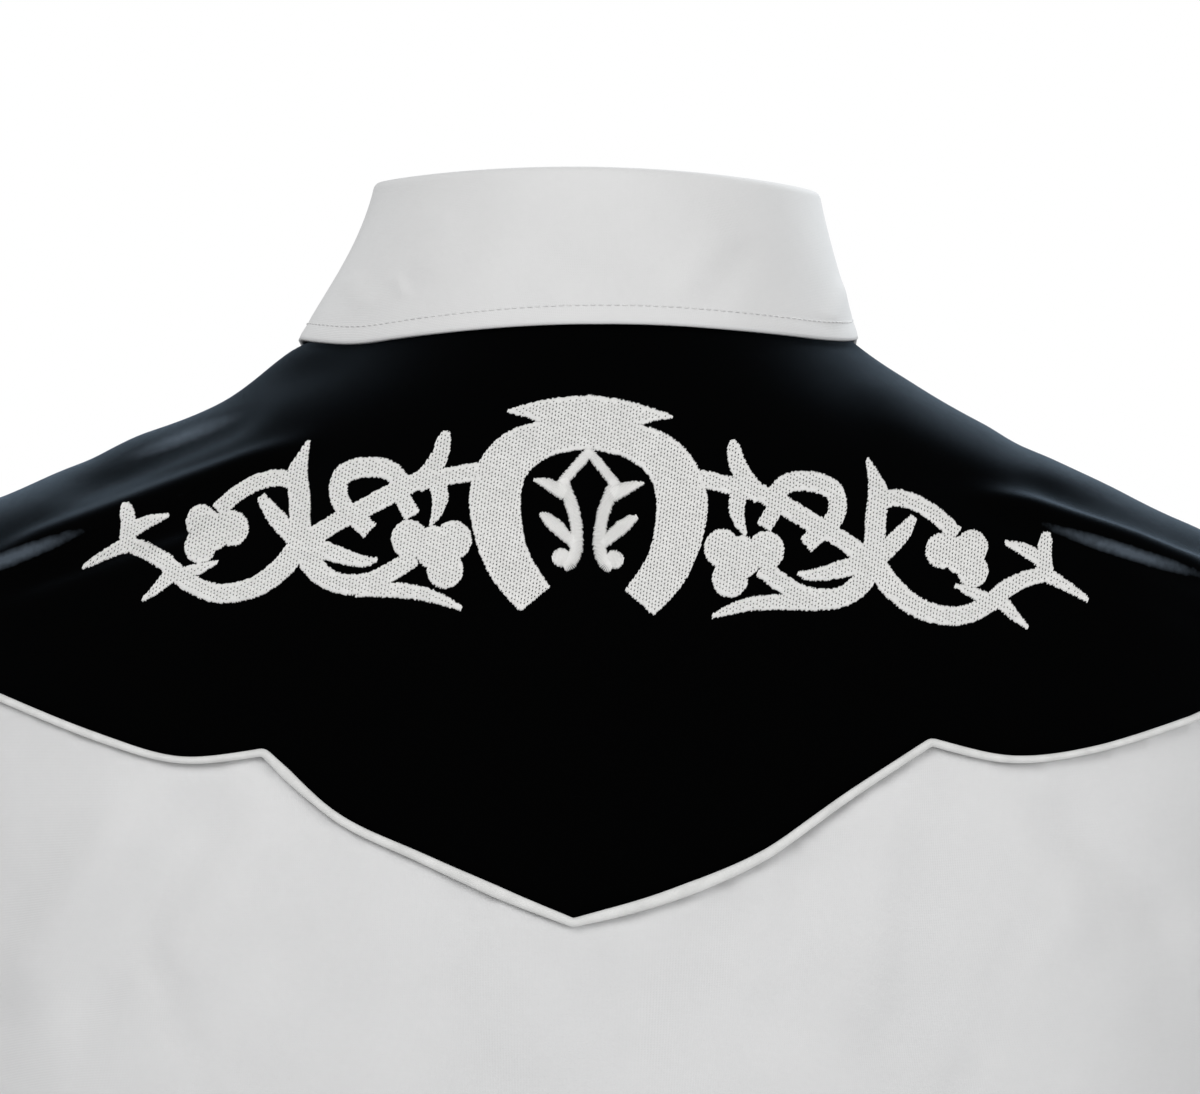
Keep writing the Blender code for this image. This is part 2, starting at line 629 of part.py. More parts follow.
def arm_frame(along):
    """Centre, outward direction and half sizes of the arm at a distance down it."""
    position = np.interp(along, RINGS[:, 0], range(len(RINGS)))
    _, wide, deep, forward = catmull_rom(RINGS, position)
    down = np.array((sin(radians(ARM_SPREAD)), 0.0, -cos(radians(ARM_SPREAD))))
    out = np.array((cos(radians(ARM_SPREAD)), 0.0, sin(radians(ARM_SPREAD))))
    centre = ARM_JOINT + down * along + np.array((0.0, -forward, 0.0))
    return centre, out, down, wide, deep


def sleeve_fold(turn, along):
    """How far the sleeve's folds lift the cloth."""
    total = 0.0
    for fold in SLEEVE_FOLDS:
        off = (turn - fold.turn + 0.5) % 1.0 - 0.5
        across = along - fold.along - fold.slope * off
        total += fold.height * exp(-(across / fold.width) ** 2) * exp(-(off / fold.reach) ** 2)
    return total


def ring_point(turn, along):
    """A point on the lower sleeve, as an oval round the arm."""
    centre, out, _, wide, deep = arm_frame(along)
    swing = 2 * pi * turn
    lift = sleeve_fold(turn, along)
    back = np.array((0.0, 1.0, 0.0))
    return centre + out * (wide + lift) * cos(swing) + back * (deep + lift) * sin(swing)


def sleeve_point(turn, share):
    """A point on the left sleeve's head: share 0 on the armhole, 1 on the first ring of the arm."""
    first = RINGS[0, 0]
    start, end = body_point(*armhole_place(turn)), ring_point(turn, first)
    reach = np.linalg.norm(end - start)
    leave = np.array((cos(radians(HEAD_DROP)), 0.0, -sin(radians(HEAD_DROP)))) * reach
    arrive = unit(ring_point(turn, first + ARM_PROBE) - ring_point(turn, first)) * reach
    t = share
    return ((2 * t ** 3 - 3 * t ** 2 + 1) * start + (t ** 3 - 2 * t ** 2 + t) * leave
            + (3 * t ** 2 - 2 * t ** 3) * end + (t ** 3 - t ** 2) * arrive)


def armhole_turns():
    """Turns round the armhole where the panels have their points, once round."""
    turns = steps(0.0, YOKE_BACK_TURN, YOKE_BACK_STEPS)[:-1]
    turns += steps(YOKE_BACK_TURN, 0.5, ARMHOLE_PANEL_STEPS)[:-1]
    turns += steps(0.5, YOKE_FRONT_TURN, ARMHOLE_PANEL_STEPS)[:-1]
    return turns + steps(YOKE_FRONT_TURN, 1.0, YOKE_FRONT_STEPS)[:-1]


def build_sleeve(name, side, finish):
    """A sleeve from the armhole to the cuff; side is 1 on the wearer's left and -1 on the right."""
    turns = armhole_turns()
    head = [[sleeve_point(turn, share) for turn in turns] for share in steps(0.0, 1.0, SLEEVE_HEAD_STEPS)]
    arm = [[ring_point(turn, along) for turn in turns]
           for along in steps(RINGS[0, 0], RINGS[-1, 0], SLEEVE_STEPS)[1:]]
    grid = np.array(head + arm)
    grid[0] += (grid[1] - grid[0]) / np.linalg.norm(grid[1] - grid[0], axis=1)[:, None] * SEAM_GAP / 2
    grid[..., 0] *= side
    cloth(name, grid, WALL, finish, tuple(grid[-2].mean(axis=0)), closed=True)


def cuff_point(turn, fall):
    """A point on the left cuff; turns go once round and on over the lap."""
    centre, out, _, wide, deep = arm_frame(RINGS[-1, 0])
    axis = unit(centre - arm_frame(RINGS[-1, 0] - CUFF_AXIS_REACH)[0])
    swing = 2 * pi * (turn + CUFF_OPEN_TURN)
    lift = STAND_LAP_STEP * smooth((turn - CUFF_LAP_START) / CUFF_LAP_RUN)
    back = np.array((0.0, 1.0, 0.0))
    return (centre + axis * (fall + LAYER_GAP) + out * (wide + lift) * cos(swing)
            + back * (deep + lift) * sin(swing))


def build_cuff(name, side, finish):
    """A cuff that laps over itself towards the back of the arm."""
    grid = np.array([[cuff_point(turn, fall) for turn in steps(0.0, 1.0 + CUFF_LAP_TURN, CUFF_STEPS)]
                     for fall in steps(0.0, CUFF_HEIGHT, 2)])
    grid[..., 0] *= side
    cloth(name, grid, FIRM_WALL, finish, tuple(grid[1].mean(axis=0)))


# Buttons

def build_button(name, place, normal, finish):
    """A flat round button whose back is a layer gap above a place."""
    centre = Vector(place + normal * (LAYER_GAP + BUTTON_THICKNESS / 2))
    bpy.ops.mesh.primitive_cylinder_add(vertices=BUTTON_SIDES, radius=BUTTON_RADIUS, depth=BUTTON_THICKNESS)
    button = bpy.context.object
    button.name = name
    button.data.name = name
    button.location = centre
    button.rotation_euler = Vector(normal).to_track_quat("Z", "Y").to_euler()
    button.data.materials.append(finish)
    for collection in list(button.users_collection):
        collection.objects.unlink(button)
    bpy.data.collections["charro_shirt"].objects.link(button)
    edge = button.modifiers.new("edge", "BEVEL")
    edge.width = BUTTON_BEVEL
    edge.segments = 1
    edge.limit_method = "ANGLE"


def build_buttons(finish):
    """The buttons of the front, the collar band and the cuffs."""
    for number, row in enumerate(FRONT_BUTTON_ROWS, start=1):
        angle = angle_at_x(0.0, row)
        build_button(f"button_front_{number}", body_point(angle, row), body_normal(angle, row), finish)
    base, out, up = neck_frame(-90.0)
    build_button("button_collar", base + up * STAND_HEIGHT_FRONT * 0.5, out, finish)
    for name, side in (("button_cuff_left", 1.0), ("button_cuff_right", -1.0)):
        turn = 1.0 + CUFF_LAP_TURN / 2
        place = cuff_point(turn, CUFF_HEIGHT / 2)
        around = cuff_point(turn + 0.01, CUFF_HEIGHT / 2) - cuff_point(turn - 0.01, CUFF_HEIGHT / 2)
        normal = unit(np.cross(around, cuff_point(turn, 0.0) - place))
        place[0] *= side
        normal[0] *= side
        build_button(name, place, normal, finish)


def main():
    """Build the whole shirt in one collection."""
    for old in list(bpy.data.objects):
        bpy.data.objects.remove(old, do_unlink=True)
    bpy.context.scene.collection.children.link(bpy.data.collections.new("charro_shirt"))
    white = material("white_cotton", (0.72, 0.72, 0.72), 0.85)
    firm_white = material("white_collar_cotton", (0.74, 0.74, 0.73), 0.8)
    black = material("black_sateen", (0.006, 0.006, 0.007), 0.55)
    trim = material("white_piping", (0.80, 0.80, 0.78), 0.7)
    pearl = material("white_button", (0.82, 0.81, 0.78), 0.25)
    build_back(white)
    build_fronts(white)
    build_placket(firm_white)
    build_yoke(black)
    build_piping(trim)
    build_stand(firm_white)
    build_leaf(firm_white)
    for name, side in (("left", 1.0), ("right", -1.0)):
        build_sleeve(f"sleeve_{name}", side, white)
        build_cuff(f"cuff_{name}", side, firm_white)
    build_buttons(pearl)


main()
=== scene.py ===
"""The looks of the charro shirt: fine cloth shells with creases, piping, stitching and a stitched design.

Units are metres unless a comment says otherwise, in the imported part's frame: +Z up, the front faces -Y, the
wearer's left is +X. The cloth pieces follow the same surfaces as the solids: a place on the body is an angle
(0 left side, 90 back, 180 right side, 270 front) and a row number in TORSO.
"""
from collections import namedtuple
from math import ceil, cos, degrees, floor, pi, radians, sin

import bpy
import numpy as np
from mathutils import Matrix, Vector
from mathutils.bvhtree import BVHTree
from mathutils.geometry import delaunay_2d_cdt


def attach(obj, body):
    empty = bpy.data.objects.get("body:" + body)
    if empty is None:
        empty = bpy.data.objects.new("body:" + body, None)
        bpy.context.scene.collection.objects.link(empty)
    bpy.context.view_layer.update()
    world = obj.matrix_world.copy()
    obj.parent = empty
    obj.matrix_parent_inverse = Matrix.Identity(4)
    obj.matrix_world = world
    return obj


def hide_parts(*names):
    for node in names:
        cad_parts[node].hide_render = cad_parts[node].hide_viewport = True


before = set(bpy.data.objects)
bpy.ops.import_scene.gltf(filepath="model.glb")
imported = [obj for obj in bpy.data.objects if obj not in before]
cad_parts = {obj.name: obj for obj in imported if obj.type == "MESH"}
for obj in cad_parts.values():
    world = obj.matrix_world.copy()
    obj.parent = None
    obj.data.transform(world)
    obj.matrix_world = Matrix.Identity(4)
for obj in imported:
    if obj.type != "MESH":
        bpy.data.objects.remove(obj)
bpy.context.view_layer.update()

SIDES = (("left", 1.0), ("right", -1.0))
# Cloth, as in the solids
WALL = 0.0012
FIRM_WALL = 0.0016
SEAM_GAP = 0.0003
LAYER_GAP = 0.0006

TorsoRow = namedtuple("TorsoRow", "name z_side z_back z_front half_width back front square")
TORSO = tuple(TorsoRow(*row) for row in (
    ("hem", -0.665, -0.790, -0.770, 0.228, 0.128, 0.132, 2.3),
    ("seat", -0.582, -0.680, -0.662, 0.226, 0.127, 0.133, 2.3),
    ("hip", -0.502, -0.570, -0.554, 0.220, 0.122, 0.131, 2.3),
    ("waist", -0.424, -0.462, -0.452, 0.214, 0.116, 0.130, 2.3),
    ("rib", -0.350, -0.364, -0.362, 0.213, 0.118, 0.133, 2.3),
    ("underarm", -0.285, -0.280, -0.288, 0.215, 0.123, 0.136, 2.4),
    ("blade", -0.216, -0.205, -0.222, 0.220, 0.125, 0.132, 2.5),
    ("upper", -0.148, -0.136, -0.162, 0.228, 0.119, 0.120, 2.5),
    ("tip", -0.0895, -0.080, -0.112, 0.236, 0.107, 0.101, 2.3),
    ("slope", -0.0590, -0.042, -0.083, 0.176, 0.092, 0.085, 2.15),
    ("base", -0.0315, -0.011, -0.064, 0.115, 0.075, 0.074, 2.0),
    ("neck", 0.004, 0.009, -0.050, 0.0695, 0.061, 0.067, 2.0),
))
ROW = {row.name: index for index, row in enumerate(TORSO)}
MEASURES = np.array([row[1:] for row in TORSO])
NECK = ROW["neck"]
UNDERARM = ROW["underarm"]

Fold = namedtuple("Fold", "side x0 z0 x1 z1 height width")


def folds(side, *rows):
    """Folds on one side, from rows in millimetres: x and z of both ends, height and width."""
    return tuple(Fold(side, *(value / 1000.0 for value in row)) for row in rows)


# The larger folds, as in the solids
FOLDS = folds(
    "back", (72, -6, 208, -70, 2.6, 16), (-70, -6, -196, -94, 2.8, 17), (120, -145, 180, -290, 3.2, 24),
    (-85, -160, -60, -330, 2.8, 24), (-135, -145, -185, -300, 3.2, 24), (90, -420, 110, -820, 7, 30),
    (0, -470, -10, -830, 5, 32), (-95, -400, -120, -820, 7.5, 30), (50, -440, 52, -820, -4.5, 24),
    (-55, -450, -65, -820, -4.5, 24),
) + folds(
    "front", (105, -380, 120, -800, 7, 30), (65, -440, 72, -800, -4, 22), (-100, -400, -128, -800, 6.5, 30),
    (-62, -430, -75, -800, -4, 22), (170, -190, 100, -310, 3.5, 24), (-170, -185, -110, -320, 3.5, 24),
)
# Finer creases: the yoke's left and right shoulder, under its seam, lower down, and the fronts
FOLDS += folds(
    "back", (74, -8, 168, -54, 3.6, 4.2), (100, -31, 178, -66, -3, 4.5), (82, -38, 204, -87.5, 4, 4),
    (112, -60, 196, -94.5, -2, 4), (120, -70, 200, -101, 0.7, 5),
    (-76, -18, -142, -44, 1.4, 5), (-78, -26, -155, -60, 1.2, 6), (-128, -45, -215, -74, 1.8, 5.5),
    (-126, -50, -208, -75, -2.2, 3.4), (-112, -52.5, -214, -83.5, 3.6, 3.2), (-140, -72, -205, -96, -0.8, 5),
    (136, -142, 186, -225, 4.3, 8.5), (112, -140, 166, -235, -4.7, 8), (94, -146, 130, -215, 2.6, 9),
    (142.5, -178, 112, -262, -1.5, 2.2), (38, -168, 46, -222, -2.6, 5.5), (24, -176, 20, -240, 2.2, 7),
    (-16, -184, -24, -240, -2.4, 6), (-46, -166, -30, -222, -2.8, 6), (-70, -146, -58, -232, -3.5, 7.5),
    (-92, -138, -84, -225, 2.8, 8), (-148, -154, -109, -258, -1.5, 2.2), (-138, -138, -196, -200, -3.2, 7.5),
    (-118, -136, -160, -200, 2.2, 8),
    (190, -300, 110, -430, 1.8, 13), (-190, -310, -120, -420, 2, 12), (30, -330, 75, -470, 1.4, 12),
) + folds(
    "front", (60, -80, 150, -190, 1.2, 10), (-60, -80, -145, -200, 1.4, 10), (45, -130, 85, -300, -1.2, 9),
    (-50, -140, -70, -330, 1.2, 10), (190, -300, 120, -420, 1.8, 12), (-190, -290, -130, -400, 2, 12),
)
# A fold fades out over this share of its length, and round the body's side
FOLD_FADE = 0.25
FOLD_SIDE_DEPTH = 0.03
FOLD_SIDE_SHARE = 0.3
LEAF_CREASES = folds(
    "back", (-42, 30, -20, 4, 0.6, 5.5), (-52, 27, -32, 0, -0.5, 5), (66, 12, 61, 3.5, 0.6, 1.8),
    (63, 12.5, 58.5, 4.5, -0.4, 1.6), (82, 11, 73, -1, 0.6, 4), (-83, 12, -74, -4, 0.8, 4),
    (28, 30, 5, 9, -0.4, 6), (-5, 33, -18, 12, 0.4, 7), (48, 33, 56, 9, 0.5, 6),
) + folds("front", (50, -25, 64, -70, 0.6, 6), (-48, -22, -65, -68, 0.6, 7))
# A highlight painted into the black sateen's colour along folds on the back, standing for its sheen there: x
# and z of both ends, share, width
PAINTED_GLEAMS = (
    (0.0700, -0.0040, 0.1080, -0.0280, 0.22, 0.0090), (0.0800, -0.0210, 0.1850, -0.0640, 0.80, 0.0070),
    (0.0900, -0.0425, 0.1700, -0.0735, 0.40, 0.0040), (0.1300, -0.0570, 0.2400, -0.1030, 1.00, 0.0065),
    (-0.0300, 0.0000, -0.1800, -0.0640, 0.24, 0.0420), (-0.1080, -0.0520, -0.2300, -0.0895, 1.00, 0.0058),
    (-0.1250, -0.0430, -0.2150, -0.0720, 0.40, 0.0060),
)
# How far in depth each painted highlight reaches
PAINTED_GLEAM_DEPTH = 0.60

ARMHOLE_BACK_REACH = 29.0
ARMHOLE_FRONT_REACH = 34.0
ARMHOLE_SQUARE = 0.85
ARMHOLE_MIDDLE = (ROW["tip"] + UNDERARM) / 2.0
ARMHOLE_HALF = (ROW["tip"] - UNDERARM) / 2.0
YOKE_BACK_TURN = 0.105
YOKE_FRONT_TURN = 0.895
YOKE_FRONT_ANGLE = -42.0

# The yoke's back seam, as x and z
SEAM_POINT = (0.0055, -0.1850)
LEFT_NOTCH = (0.1020, -0.1355)
RIGHT_NOTCH = (-0.1045, -0.1285)
LEFT_SEAM = (
    (SEAM_POINT, (0.028, -0.1765), (0.053, -0.1660), (0.079, -0.1545), LEFT_NOTCH),
    (LEFT_NOTCH, (0.128, -0.1390), (0.154, -0.1335), (0.187, -0.1230)),
)
RIGHT_SEAM = (
    (SEAM_POINT, (-0.022, -0.1770), (-0.052, -0.1640), (-0.079, -0.1450), RIGHT_NOTCH),
    (RIGHT_NOTCH, (-0.130, -0.1340), (-0.157, -0.1315), (-0.190, -0.1230)),
)

PLACKET_HALF_WIDTH = 0.016
PLACKET_CROWN = 0.0002
PLACKET_FLAT = 0.007
PLACKET_CREST = 0.010
PLACKET_RIDGE = 0.006
UNDERLAP_EDGE = 0.013
UNDERLAP_START = 0.0195
UNDERLAP_STEP = FIRM_WALL + 2 * LAYER_GAP

STAND_HEIGHT_BACK = 0.033
STAND_HEIGHT_FRONT = 0.029
STAND_HEIGHT_END = 0.023
STAND_LAP_ANGLE = 12.0
STAND_LAP_STEP = FIRM_WALL + LAYER_GAP
# The collar band's left end rises over the right one from this angle on, over so many degrees
STAND_LAP_START = -58.0
STAND_LAP_RUN = 26.0
STAND_LEAN = radians(8.0)
UP_LEAN = np.array((0.0, -sin(STAND_LEAN), cos(STAND_LEAN)))
LEAF_RISE = 0.0012
LEAF_ROLL_RADIUS = 0.0030
LEAF_ROLL_EXIT = 12.0
LEAF_TILT = 0.09
# Lines over the collar leaf: angle at the fold, angle and row at the outer edge
LEAF_LINES = np.array((
    (-83.5, -73.5, 8.55), (-66, -62, 9.20), (-44, -43, 9.90), (-22, -20, 10.33), (0, 0, 10.47),
    (22, 22, 10.43), (45, 45, 10.38), (67, 67, 10.33), (90, 90, 10.31),
))
LEAF_GRID = (260, 12, 44)
TOPSTITCH = 0.0060
LEAF_GROOVE = 0.00010
LEAF_GROOVE_WIDTH = 0.0010
LEAF_SEAM = 0.00016
LEAF_SEAM_IN = 0.0022
LEAF_SEAM_WIDTH = 0.0016

BACKWARD = np.array((0.0, 1.0, 0.0))
ARM_JOINT = np.array((0.208, 0.0, -0.060))
ARM_SPREAD = radians(19.0)
ARM_DOWN = np.array((sin(ARM_SPREAD), 0.0, -cos(ARM_SPREAD)))
ARM_OUT = np.array((cos(ARM_SPREAD), 0.0, sin(ARM_SPREAD)))
SLEEVE_HEAD_SLOPE = radians(27.0)
# Ovals down the arm: distance, half sizes across and in depth, and how far forward
RINGS = np.array((
    (0.272, 0.062, 0.071, 0.000), (0.330, 0.060, 0.067, 0.000), (0.410, 0.058, 0.062, 0.003),
    (0.490, 0.055, 0.058, 0.014), (0.570, 0.053, 0.055, 0.031), (0.600, 0.047, 0.048, 0.038),
    (0.615, 0.0405, 0.0405, 0.042),
))
WRIST = RINGS[-1, 0]
CUFF_HEIGHT = 0.065
CUFF_AXIS_REACH = 0.05
CUFF_LAP_TURN = 0.07
CUFF_OPEN_TURN = 0.20
# Folds of the sleeve, the larger ones first: turn, distance down the arm, height, width, reach, slope
SLEEVE_FOLDS = (
    (0.72, 0.385, -0.0050, 0.013, 0.16, 0.05), (0.70, 0.430, -0.0060, 0.014, 0.18, -0.04),
    (0.75, 0.475, -0.0045, 0.013, 0.15, 0.06), (0.52, 0.340, -0.0040, 0.014, 0.13, -0.10),
    (0.20, 0.445, 0.0035, 0.018, 0.14, 0.08), (0.40, 0.530, 0.0035, 0.016, 0.14, -0.06),
    (0.66, 0.408, 0.0022, 0.008, 0.14, 0.10), (0.78, 0.450, 0.0024, 0.008, 0.13, -0.08),
    (0.30, 0.330, 0.0018, 0.010, 0.12, 0.16), (0.12, 0.390, -0.0016, 0.009, 0.12, -0.14),
    (0.88, 0.500, 0.0018, 0.010, 0.10, 0.12), (0.55, 0.500, -0.0018, 0.009, 0.12, 0.10),
    (0.35, 0.480, 0.0016, 0.008, 0.10, -0.12), (0.05, 0.545, 0.0018, 0.010, 0.10, 0.08),
    (0.62, 0.560, 0.0016, 0.009, 0.12, -0.10),
)
SLEEVE_GRID = (132, 44, 110)
PLEAT_HEIGHT = 0.0016
PLEAT_COUNT = 15

BUTTON_RADIUS = 0.0057
BUTTON_THICKNESS = 0.0024
BUTTON_HOLE = 0.00085
BUTTON_HOLE_OFFSET = 0.0014
BUTTON_HOLLOW = 0.0008
BUTTON_THREAD = 0.00022
FRONT_BUTTON_ROWS = (1.55, 2.9, 4.15, 5.35, 6.75, 8.9)

PIPING_RADIUS = 0.0014
PIPING_FINE = 12
PIPING_SIDES = 14
PIPING_SOFTENING = 4
PIPING_END_SHARE = 0.12
# Where the edging is pressed flatter or rolled in: x and half width
PIPING_SPREAD = np.array((
    (-0.20, 0.0011), (-0.15, 0.0011), (-0.115, 0.0013), (-0.095, 0.0013), (-0.06, 0.0015), (-0.03, 0.0020),
    (-0.005, 0.0017), (0.0055, 0.0014), (0.03, 0.0019), (0.055, 0.0015), (0.085, 0.0013), (0.095, 0.0017),
    (0.105, 0.0012), (0.13, 0.0011), (0.155, 0.0013), (0.20, 0.0012),
))

STITCH_PITCH = 0.0025
STITCH_LENGTH = 0.0020
STITCH_RADIUS = 0.0002
STITCH_START = 0.1
STITCH_LIFTS = np.array((-1.0, 0.6, 1.0, 0.6, -1.0))
THREAD_SIDES = 5
# Topstitching: turns and points of its runs round the armhole, then how far each line is from its edge
ARMHOLE_RUNS = (
    (0.008, YOKE_BACK_TURN - 0.006, 24), (YOKE_BACK_TURN + 0.008, 0.492, 90),
    (0.508, YOKE_FRONT_TURN - 0.008, 90), (YOKE_FRONT_TURN + 0.006, 0.995, 24),
)
ARMHOLE_STITCHING = 0.040
YOKE_STITCHING = 0.055
HEM_STITCHING = 0.07
LEAF_STITCH_START = 18
PLACKET_STITCHING = 0.0115
CUFF_STITCHING = 0.005
CUFF_STITCH_DEPTH = 0.00012
CUFF_GROOVE = 0.00018
CUFF_GROOVE_WIDTH = 0.0012

# How finely the cloth is divided; the counts are points along one seam of the coarsest outline
YOKE_CELL = 0.0028
BODY_CELL = 0.0058
BODY_FINE = 3
YOKE_FINE = 4
HEM_COUNT = 26
SIDE_COUNT = 14
ARMHOLE_COUNT = 8
EDGE_MARGIN = 0.55
SHARPEST_MITER = 0.3
GIRTH_PER_DEGREE = 0.0031
ROW_HEIGHT = 0.072
NECK_REACH = 0.065
SAME_POINT = 1e-7
# Newton's steps on the back
NEWTON_LIMIT = 30
NEWTON_STEP = (0.05, 0.005)
NEWTON_REACH = np.array((12.0, 0.6))


# Curves and surfaces

def steps(start, end, count):
    """Evenly spaced values from start to end, both included."""
    return np.linspace(start, end, count + 1)


def smooth(value):
    """A soft step: 0 up to 0, 1 from 1 on."""
    value = np.clip(value, 0.0, 1.0)
    return value * value * (3.0 - 2.0 * value)


def bell(value):
    return np.exp(-value ** 2)


def unit(vectors):
    return vectors / np.linalg.norm(vectors, axis=-1, keepdims=True)


def run_lengths(points):
    """Distance along lines to each of their points."""
    lengths = np.linalg.norm(np.diff(points, axis=-2), axis=-1)
    return np.concatenate((np.zeros((*lengths.shape[:-1], 1)), np.cumsum(lengths, axis=-1)), axis=-1)


def catmull_rom(table, position):
    """The smooth curve through a table's rows, at one row position or an array of them."""
    last = len(table) - 1
    position = np.clip(position, 0.0, float(last))
    i = np.minimum(position.astype(int), last - 1)
    t = np.asarray(position - i)[..., None]
    a, b, c, d = (table[np.clip(i + k, 0, last)] for k in (-1, 0, 1, 2))
    return 0.5 * (2 * b + (c - a) * t + (2 * a - 5 * b + 4 * c - d) * t ** 2
                  + (3 * b - a - 3 * c + d) * t ** 3)


def bridge(start, leave, end, arrive, shares):
    """Rows of points on smooth curves between two rows, which leave and arrive in these directions."""
    return [(2 * t ** 3 - 3 * t ** 2 + 1) * start + (t ** 3 - 2 * t ** 2 + t) * leave
            + (3 * t ** 2 - 2 * t ** 3) * end + (t ** 3 - t ** 2) * arrive for t in shares]


def plain_point(angle, row):
    """Points on the body before folds."""
    z_side, z_back, z_front, half_width, back, front, square = np.moveaxis(catmull_rom(MEASURES, row), -1, 0)
    across, along = np.cos(np.radians(angle)), np.sin(np.radians(angle))
    power = 2.0 / square
    x = half_width * np.sign(across) * np.abs(across) ** power
    y = np.where(along >= 0, back, front) * np.sign(along) * np.abs(along) ** power
    z = z_side * across ** 2 + np.where(along >= 0, z_back, z_front) * along ** 2
    return np.stack((x, y, z), axis=-1)


def body_normal(angle, row):
    """The body's outward directions at places."""
    low, high = np.maximum(row - 0.02, 0.0), np.minimum(row + 0.02, float(NECK))
    around = plain_point(angle + 0.5, row) - plain_point(angle - 0.5, row)
    return unit(np.cross(around, plain_point(angle, high) - plain_point(angle, low)))


def fold_height(points, table):
    """How far folds lift the cloth at points."""
    x, y, z = np.moveaxis(points, -1, 0)
    total = np.zeros(x.shape)
    for fold in table:
        toward = y if fold.side == "back" else -y
        run_x, run_z = fold.x1 - fold.x0, fold.z1 - fold.z0
        length = (run_x ** 2 + run_z ** 2) ** 0.5
        along = ((x - fold.x0) * run_x + (z - fold.z0) * run_z) / length ** 2
        across = ((x - fold.x0) * run_z - (z - fold.z0) * run_x) / length
        ends = smooth(along / FOLD_FADE) * smooth((1.0 - along) / FOLD_FADE)
        on_side = smooth(toward / FOLD_SIDE_DEPTH + FOLD_SIDE_SHARE)
        total += fold.height * bell(across / fold.width) * ends * on_side
    return total


def body_point(angle, row, out=0.0):
    """Points on the shirt's outer face, with its folds, or out from it."""
    point = plain_point(angle, row)
    return point + body_normal(angle, row) * np.asarray(fold_height(point, FOLDS) + out)[..., None]


def place_on_back(x, z):
    """The place on the back whose x and z are these, by Newton's steps from a rough guess."""
    place = np.array((90.0 - 200.0 * x, 7.5))
    for _ in range(NEWTON_LIMIT):
        here = plain_point(*place)
        miss = np.array((x - here[0], z - here[2]))
        if np.abs(miss).max() < SAME_POINT:
            break
        by_angle = (plain_point(place[0] + NEWTON_STEP[0], place[1]) - here) / NEWTON_STEP[0]
        by_row = (plain_point(place[0], place[1] + NEWTON_STEP[1]) - here) / NEWTON_STEP[1]
        move = np.linalg.solve(np.stack((by_angle, by_row), axis=-1)[::2], miss)
        place += np.clip(move, -NEWTON_REACH, NEWTON_REACH)
    return place


def angle_at_x(x, row):
    """The angles on the front whose x is this, at rows."""
    measures = catmull_rom(MEASURES, row)
    half_width, square = measures[..., 3], measures[..., 6]
    return -np.degrees(np.arccos(np.sign(x) * (np.abs(x) / half_width) ** (square / 2.0)))


# Seam lines, as arrays of places

def places_of(angles, rows):
    return np.stack(np.broadcast_arrays(np.asarray(angles, float), np.asarray(rows, float)), axis=-1)


def straight(start, end, count):
    """Evenly spaced places from one to another, both included."""
    return np.array(start) + (np.array(end) - np.array(start)) * steps(0.0, 1.0, count)[:, None]


def armhole_place(turn):
    """Places on the left armhole; turns go from the shoulder tip over the back to the underarm."""
    swing = 2 * pi * np.asarray(turn, float)
    reach = np.where(np.sin(swing) > 0, ARMHOLE_BACK_REACH, ARMHOLE_FRONT_REACH)
    angle = reach * np.sign(np.sin(swing)) * np.abs(np.sin(swing)) ** ARMHOLE_SQUARE
    return np.stack((angle, ARMHOLE_MIDDLE + ARMHOLE_HALF * np.cos(swing)), axis=-1)


def mirrored(places):
    """The same places on the wearer's right."""
    return np.stack((180.0 - places[:, 0], places[:, 1]), axis=-1)


def smooth_run(points, count):
    """Places on the back along a smooth line through x, z points."""
    table = np.array(points)
    return np.array([place_on_back(*catmull_rom(table, at)) for at in steps(0, len(points) - 1, count)])


def half_seam(lines, armhole_end, fine):
    """One half of the yoke's back seam, from its low point out to the armhole."""
    inner, outer = smooth_run(lines[0], 10 * fine), smooth_run(lines[1], 7 * fine)
    return np.vstack((inner, outer[1:], straight(outer[-1], armhole_end, 3 * fine)[1:]))


def back_seam(fine):
    """The yoke's back seam, from the left armhole over its low point to the right armhole."""
    end = armhole_place(YOKE_BACK_TURN)
    left = half_seam(LEFT_SEAM, end, fine)
    return np.vstack((left[::-1], half_seam(RIGHT_SEAM, mirrored(end[None])[0], fine)[1:]))


def front_seam(fine):
    """The yoke's left front seam, from the armhole to the neckline."""
    return straight(armhole_place(YOKE_FRONT_TURN), (YOKE_FRONT_ANGLE, float(NECK)), 8 * fine)


def edge_rows(fine):
    """Rows at which the fronts and the placket have their points along the centre front."""
    return np.append(steps(0.0, UNDERARM, SIDE_COUNT * fine), steps(UNDERARM, NECK, 8 * fine)[1:])


# Panels: an outline of places, filled with evenly spaced ones

def flat_panel(places):
    """A flat map of the body below the shoulders, in metres."""
    return places * (GIRTH_PER_DEGREE, ROW_HEIGHT)


def flat_yoke(places):
    """A flat map of the shoulders, laid open round the neck, in metres."""
    reach = NECK_REACH + (NECK - places[:, 1]) * ROW_HEIGHT
    angle = np.radians(places[:, 0])
    return np.stack((reach * np.cos(angle), reach * np.sin(angle)), axis=-1)


def inside(points, outline, margin):
    """Which flat points are inside a closed outline, and at least a margin away from it."""
    crossed = np.zeros(len(points), bool)
    nearest = np.full(len(points), np.inf)
    for start, end in zip(outline, np.roll(outline, -1, axis=0)):
        run = end - start
        share = np.clip(((points - start) @ run) / (run @ run), 0.0, 1.0)
        nearest = np.minimum(nearest, np.linalg.norm(points - start - share[:, None] * run, axis=1))
        if start[1] != end[1]:
            spans = (start[1] > points[:, 1]) != (end[1] > points[:, 1])
            crossed ^= spans & (points[:, 0] < start[0] + (points[:, 1] - start[1]) * run[0] / run[1])
    return crossed & (nearest > margin)


